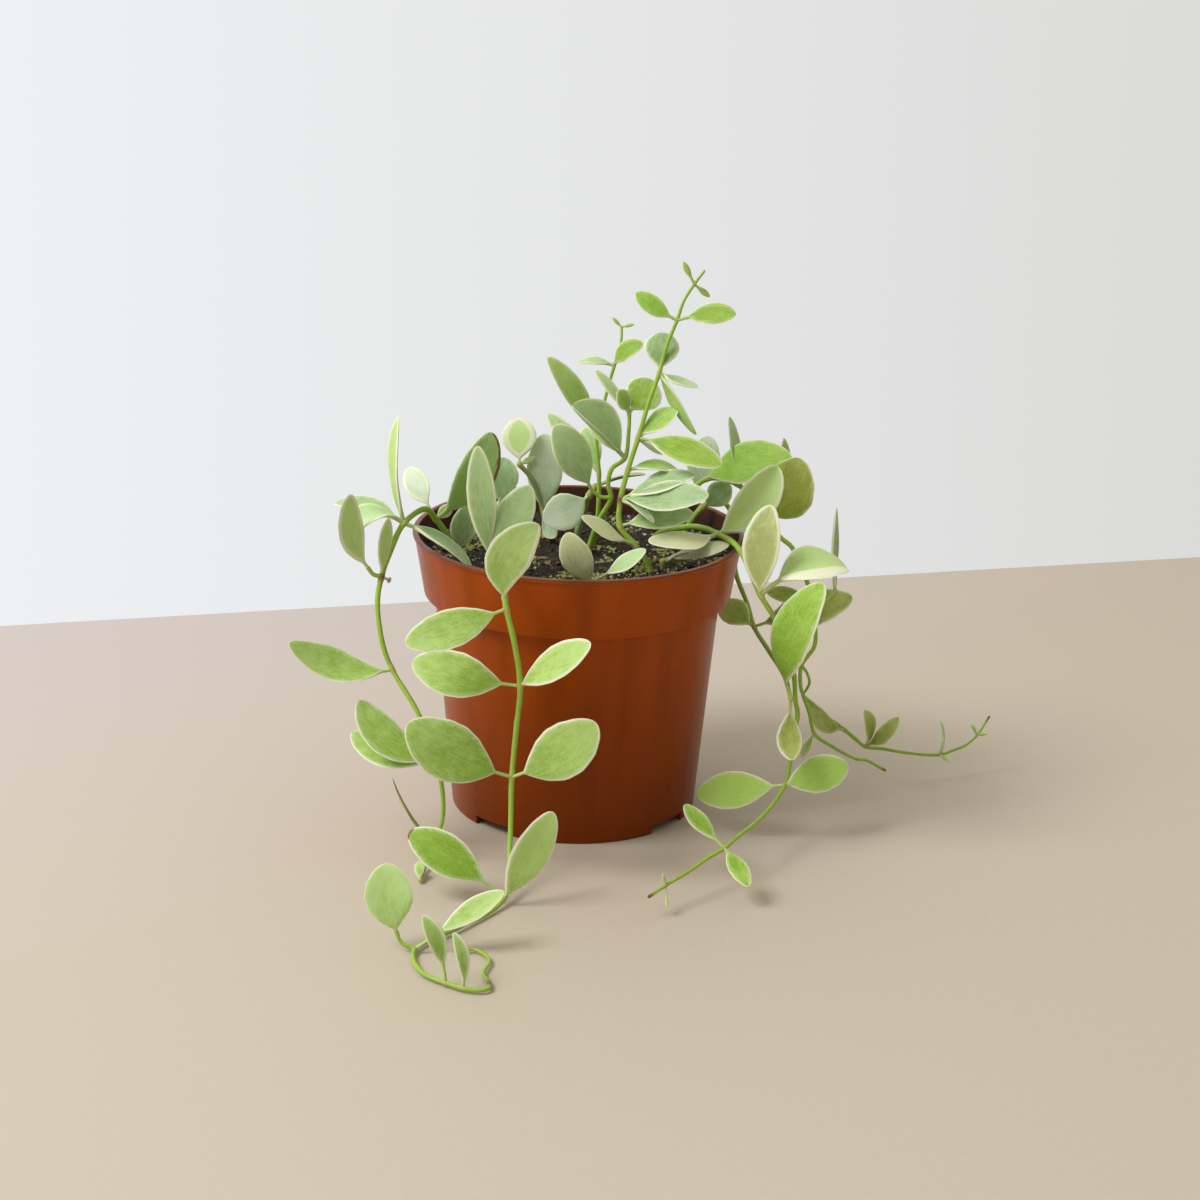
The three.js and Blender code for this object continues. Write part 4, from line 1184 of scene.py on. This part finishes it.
# %% Leaf material, pale band and cream margin
RAGS_TO_STREAKS = 0.6  # the cream margin's inner edge is ragged on a coarser scale than the streaks
uneven = add(
    fleshy_leaf,
    "ShaderNodeMath",
    {0: streaks.outputs["Fac"], 1: -2.4, 2: spot.outputs["X"]},
    operation="MULTIPLY_ADD",
)
band = add(
    fleshy_leaf,
    "ShaderNodeMapRange",
    {"Value": uneven.outputs[0], "From Min": -1.5, "From Max": 0.2, "To Min": 0.5, "To Max": 0.0},
    interpolation_type="SMOOTHSTEP",
)
banded = add(
    fleshy_leaf,
    "ShaderNodeMix",
    {0: band.outputs["Result"], A: dotted.outputs[MIXED], B: colour("#cfdfa4")},
    data_type="RGBA",
)
ragged = add(
    fleshy_leaf,
    "ShaderNodeTexNoise",
    {"Vector": along_leaf.outputs["Vector"], "Scale": RAGS_TO_STREAKS, "Detail": 2},
)
ragged_in = add(
    fleshy_leaf,
    "ShaderNodeMath",
    {0: ragged.outputs["Fac"], 1: -0.6, 2: spot.outputs["X"]},
    operation="MULTIPLY_ADD",
)
margin = add(
    fleshy_leaf,
    "ShaderNodeMapRange",
    {"Value": ragged_in.outputs[0], "From Min": -0.5, "From Max": -0.1, "To Min": 0.85, "To Max": 0.0},
    interpolation_type="SMOOTHSTEP",
)
blade = add(
    fleshy_leaf, "ShaderNodeMapRange", {"Value": spot.outputs["Y"], "From Min": 0.0, "From Max": 0.08}
)
cream = add(
    fleshy_leaf,
    "ShaderNodeMath",
    {0: margin.outputs["Result"], 1: blade.outputs["Result"]},
    operation="MULTIPLY",
)
edged = add(
    fleshy_leaf,
    "ShaderNodeMix",
    {0: cream.outputs[0], A: banded.outputs[MIXED], B: colour("#edefd2")},
    data_type="RGBA",
)
print("cream in linear light:", [round(c, 3) for c in colour("#edefd2")])

# %% Leaf material, underside, dried parts and skin
FLESH_IOR, FLESH_GLOW = 1.42, (0.6, 1.0, 0.25)  # light goes furthest through green cells as green
under_share = add(fleshy_leaf, "ShaderNodeMath", {0: spot.outputs["Z"], 1: 0.6}, operation="MULTIPLY")
turned = add(
    fleshy_leaf,
    "ShaderNodeMix",
    {0: under_share.outputs[0], A: edged.outputs[MIXED], B: colour("#b3bf8a")},
    data_type="RGBA",
)
dried = add(
    fleshy_leaf, "ShaderNodeMath", {0: age.outputs["Y"], 1: blotches.outputs["Fac"]}, operation="ADD"
)
dried_share = add(
    fleshy_leaf, "ShaderNodeMapRange", {"Value": dried.outputs[0], "From Min": 0.85, "From Max": 1.0}
)
leaf_tint = add(
    fleshy_leaf,
    "ShaderNodeMix",
    {0: dried_share.outputs["Result"], A: turned.outputs[MIXED], B: colour("#8a6a3c")},
    data_type="RGBA",
)
leaf_grain = add(
    fleshy_leaf, "ShaderNodeBump", {"Height": mottle.outputs[0], "Strength": 0.25, "Distance": 0.15 * MM}
)
leaf_skin = add(
    fleshy_leaf,
    "ShaderNodeBsdfPrincipled",
    {
        "Base Color": leaf_tint.outputs[MIXED],
        "Roughness": 0.46,
        "IOR": FLESH_IOR,
        "Specular IOR Level": 0.2,
        "Subsurface Weight": 0.2,
        "Subsurface Radius": FLESH_GLOW,
        "Subsurface Scale": 1.4 * MM,
        "Normal": leaf_grain.outputs["Normal"],
    },
)
add(fleshy_leaf, "ShaderNodeOutputMaterial", {"Surface": leaf_skin.outputs["BSDF"]})
print("leaf material:", len(fleshy_leaf.node_tree.nodes), "nodes")

# %% [markdown]
# ## Stems
# A young stem is bright green and smooth, a little yellow where a pair of leaves grows from it, and
# brown where a tip or an old leaf's scar has withered. The net of a stem stores how close each point is
# to such a joint and to such a scar, and those two numbers mix the colours.

# %% Stem material
green_stem = new_material("young_green_stem")
stored = add(green_stem, "ShaderNodeAttribute", attribute_name="place")
stored_where = add(green_stem, "ShaderNodeAttribute", attribute_name="where")
spot = add(green_stem, "ShaderNodeSeparateXYZ", {0: stored_where.outputs["Vector"]})
FIBRE_MM, FIBRE_RUN_MM = 1 / 2.2, 1 / 0.35  # about 0.45 mm across a stem and 2.9 mm along it
grain_run = add(
    green_stem,
    "ShaderNodeMapping",
    {"Vector": stored.outputs["Vector"], "Scale": (1 / FIBRE_MM, 1 / FIBRE_RUN_MM, 1.0)},
)
fine = add(
    green_stem, "ShaderNodeTexNoise", {"Vector": grain_run.outputs["Vector"], "Scale": 1.0, "Detail": 3}
)
stored_tone = add(green_stem, "ShaderNodeAttribute", attribute_name="tone")
stored_pale = add(green_stem, "ShaderNodeAttribute", attribute_name="pale")
stem_tint = add(
    green_stem,
    "ShaderNodeMix",
    {0: fine.outputs["Fac"], A: stored_tone.outputs["Color"], B: stored_pale.outputs["Color"]},
    data_type="RGBA",
)
jointed = add(
    green_stem,
    "ShaderNodeMix",
    {0: spot.outputs["X"], A: stem_tint.outputs[MIXED], B: colour("#b3b45c")},
    data_type="RGBA",
)
withered = add(
    green_stem,
    "ShaderNodeMix",
    {0: spot.outputs["Z"], A: jointed.outputs[MIXED], B: colour("#75562f")},
    data_type="RGBA",
)
stem_grain = add(
    green_stem, "ShaderNodeBump", {"Height": fine.outputs["Fac"], "Strength": 0.3, "Distance": 0.15 * MM}
)
stem_skin = add(
    green_stem,
    "ShaderNodeBsdfPrincipled",
    {
        "Base Color": withered.outputs[MIXED],
        "Roughness": 0.42,
        "IOR": FLESH_IOR,
        "Specular IOR Level": 0.35,
        "Subsurface Weight": 0.15,
        "Subsurface Radius": FLESH_GLOW,
        "Subsurface Scale": 1.0 * MM,
        "Normal": stem_grain.outputs["Normal"],
    },
)
add(green_stem, "ShaderNodeOutputMaterial", {"Surface": stem_skin.outputs["BSDF"]})
print("stem fibres", round(FIBRE_MM, 2), "mm wide and", round(FIBRE_RUN_MM, 1), "mm long")

# %% Vines
SEEDS_A_STEM = 40  # more than the leaves of any stem


def net_faces(rings, columns, start):
    """Quads over rings of points, with both ends closed by one face."""
    r, c = np.meshgrid(np.arange(rings - 1), np.arange(columns), indexing="ij")
    n = (c + 1) % columns
    quads = np.stack([r * columns + c, r * columns + n, (r + 1) * columns + n, (r + 1) * columns + c], -1)
    ends = [list(range(columns - 1, -1, -1)), list(range((rings - 1) * columns, rings * columns))]
    return (quads.reshape(-1, 4) + start).tolist() + [[v + start for v in end] for end in ends]


def plant_piece(part):
    """All the stems and leaves of one part, in one mesh with a stem and a leaf material."""
    points, faces, kinds, at, where, aged, tone, pale = [], [], [], [], [], [], [], []
    count = 0
    for index, (name, radii, route, leaves) in enumerate(STEMS):
        if name != part:
            continue
        stem_green = "y" if part.startswith("vine") else "m"
        joints = [leaf[0] for leaf in leaves]
        nets = [(stem_net(radii, route, joints, SCARS.get(index, ()), index), 0, stem_green)]
        for k, (leaf, look) in enumerate(zip(leaves, LOOKS[index].split())):
            base = np.array(route[leaf[0]], float)
            nets.append((leaf_net(base, leaf, look, SEEDS_A_STEM * index + k), 1, look[0]))
        for (rings, place, spot, age), kind, letter in nets:
            made = net_faces(rings.shape[0], rings.shape[1], count)
            size = rings.shape[0] * rings.shape[1]
            points.append(rings.reshape(-1, 3))
            at.append(place.reshape(-1, 3))
            where.append(spot.reshape(-1, 3))
            aged.append(age.reshape(-1, 3))
            tone.append(np.tile(colour(GREENS[letter][0]), (size, 1)))
            pale.append(np.tile(colour(GREENS[letter][1]), (size, 1)))
            faces += made
            kinds += [kind] * len(made)
            count += size
    piece = new_piece(
        part + "_leaves", (np.concatenate(points) * MM).tolist(), faces, green_stem, fleshy_leaf
    )
    mesh = piece.data
    mesh.polygons.foreach_set("material_index", kinds)
    for name, kind, values in (
        ("place", "FLOAT_VECTOR", at),
        ("where", "FLOAT_VECTOR", where),
        ("aged", "FLOAT_VECTOR", aged),
        ("tone", "FLOAT_COLOR", tone),
        ("pale", "FLOAT_COLOR", pale),
    ):
        stored = mesh.attributes.new(name, kind, "POINT")
        stored.data.foreach_set(
            "color" if kind == "FLOAT_COLOR" else "vector", np.concatenate(values).ravel()
        )
    smooth(piece, sharpest=75)
    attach(piece, "root")
    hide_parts(part)
    return piece


faces_made = 0
for part in dict.fromkeys(stem[0] for stem in STEMS):
    vine = plant_piece(part)
    faces_made += len(vine.data.polygons)
print("plant:", faces_made, "faces")

# %% [markdown]
# ## The size
# The dressed model has to keep the measured size. The box round the measured model and the box round
# the dressed one are printed side by side, so that any piece that grew too far shows at once.

# %% Sizes, and the end
dressed_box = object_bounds()
boxes = {
    "cad": [[float(v) for v in corner] for corner in measured_box],
    "visual": [[float(v) for v in corner] for corner in dressed_box],
}
for name, box in boxes.items():
    print(name, [[round(v * 1000, 1) for v in corner] for corner in box])
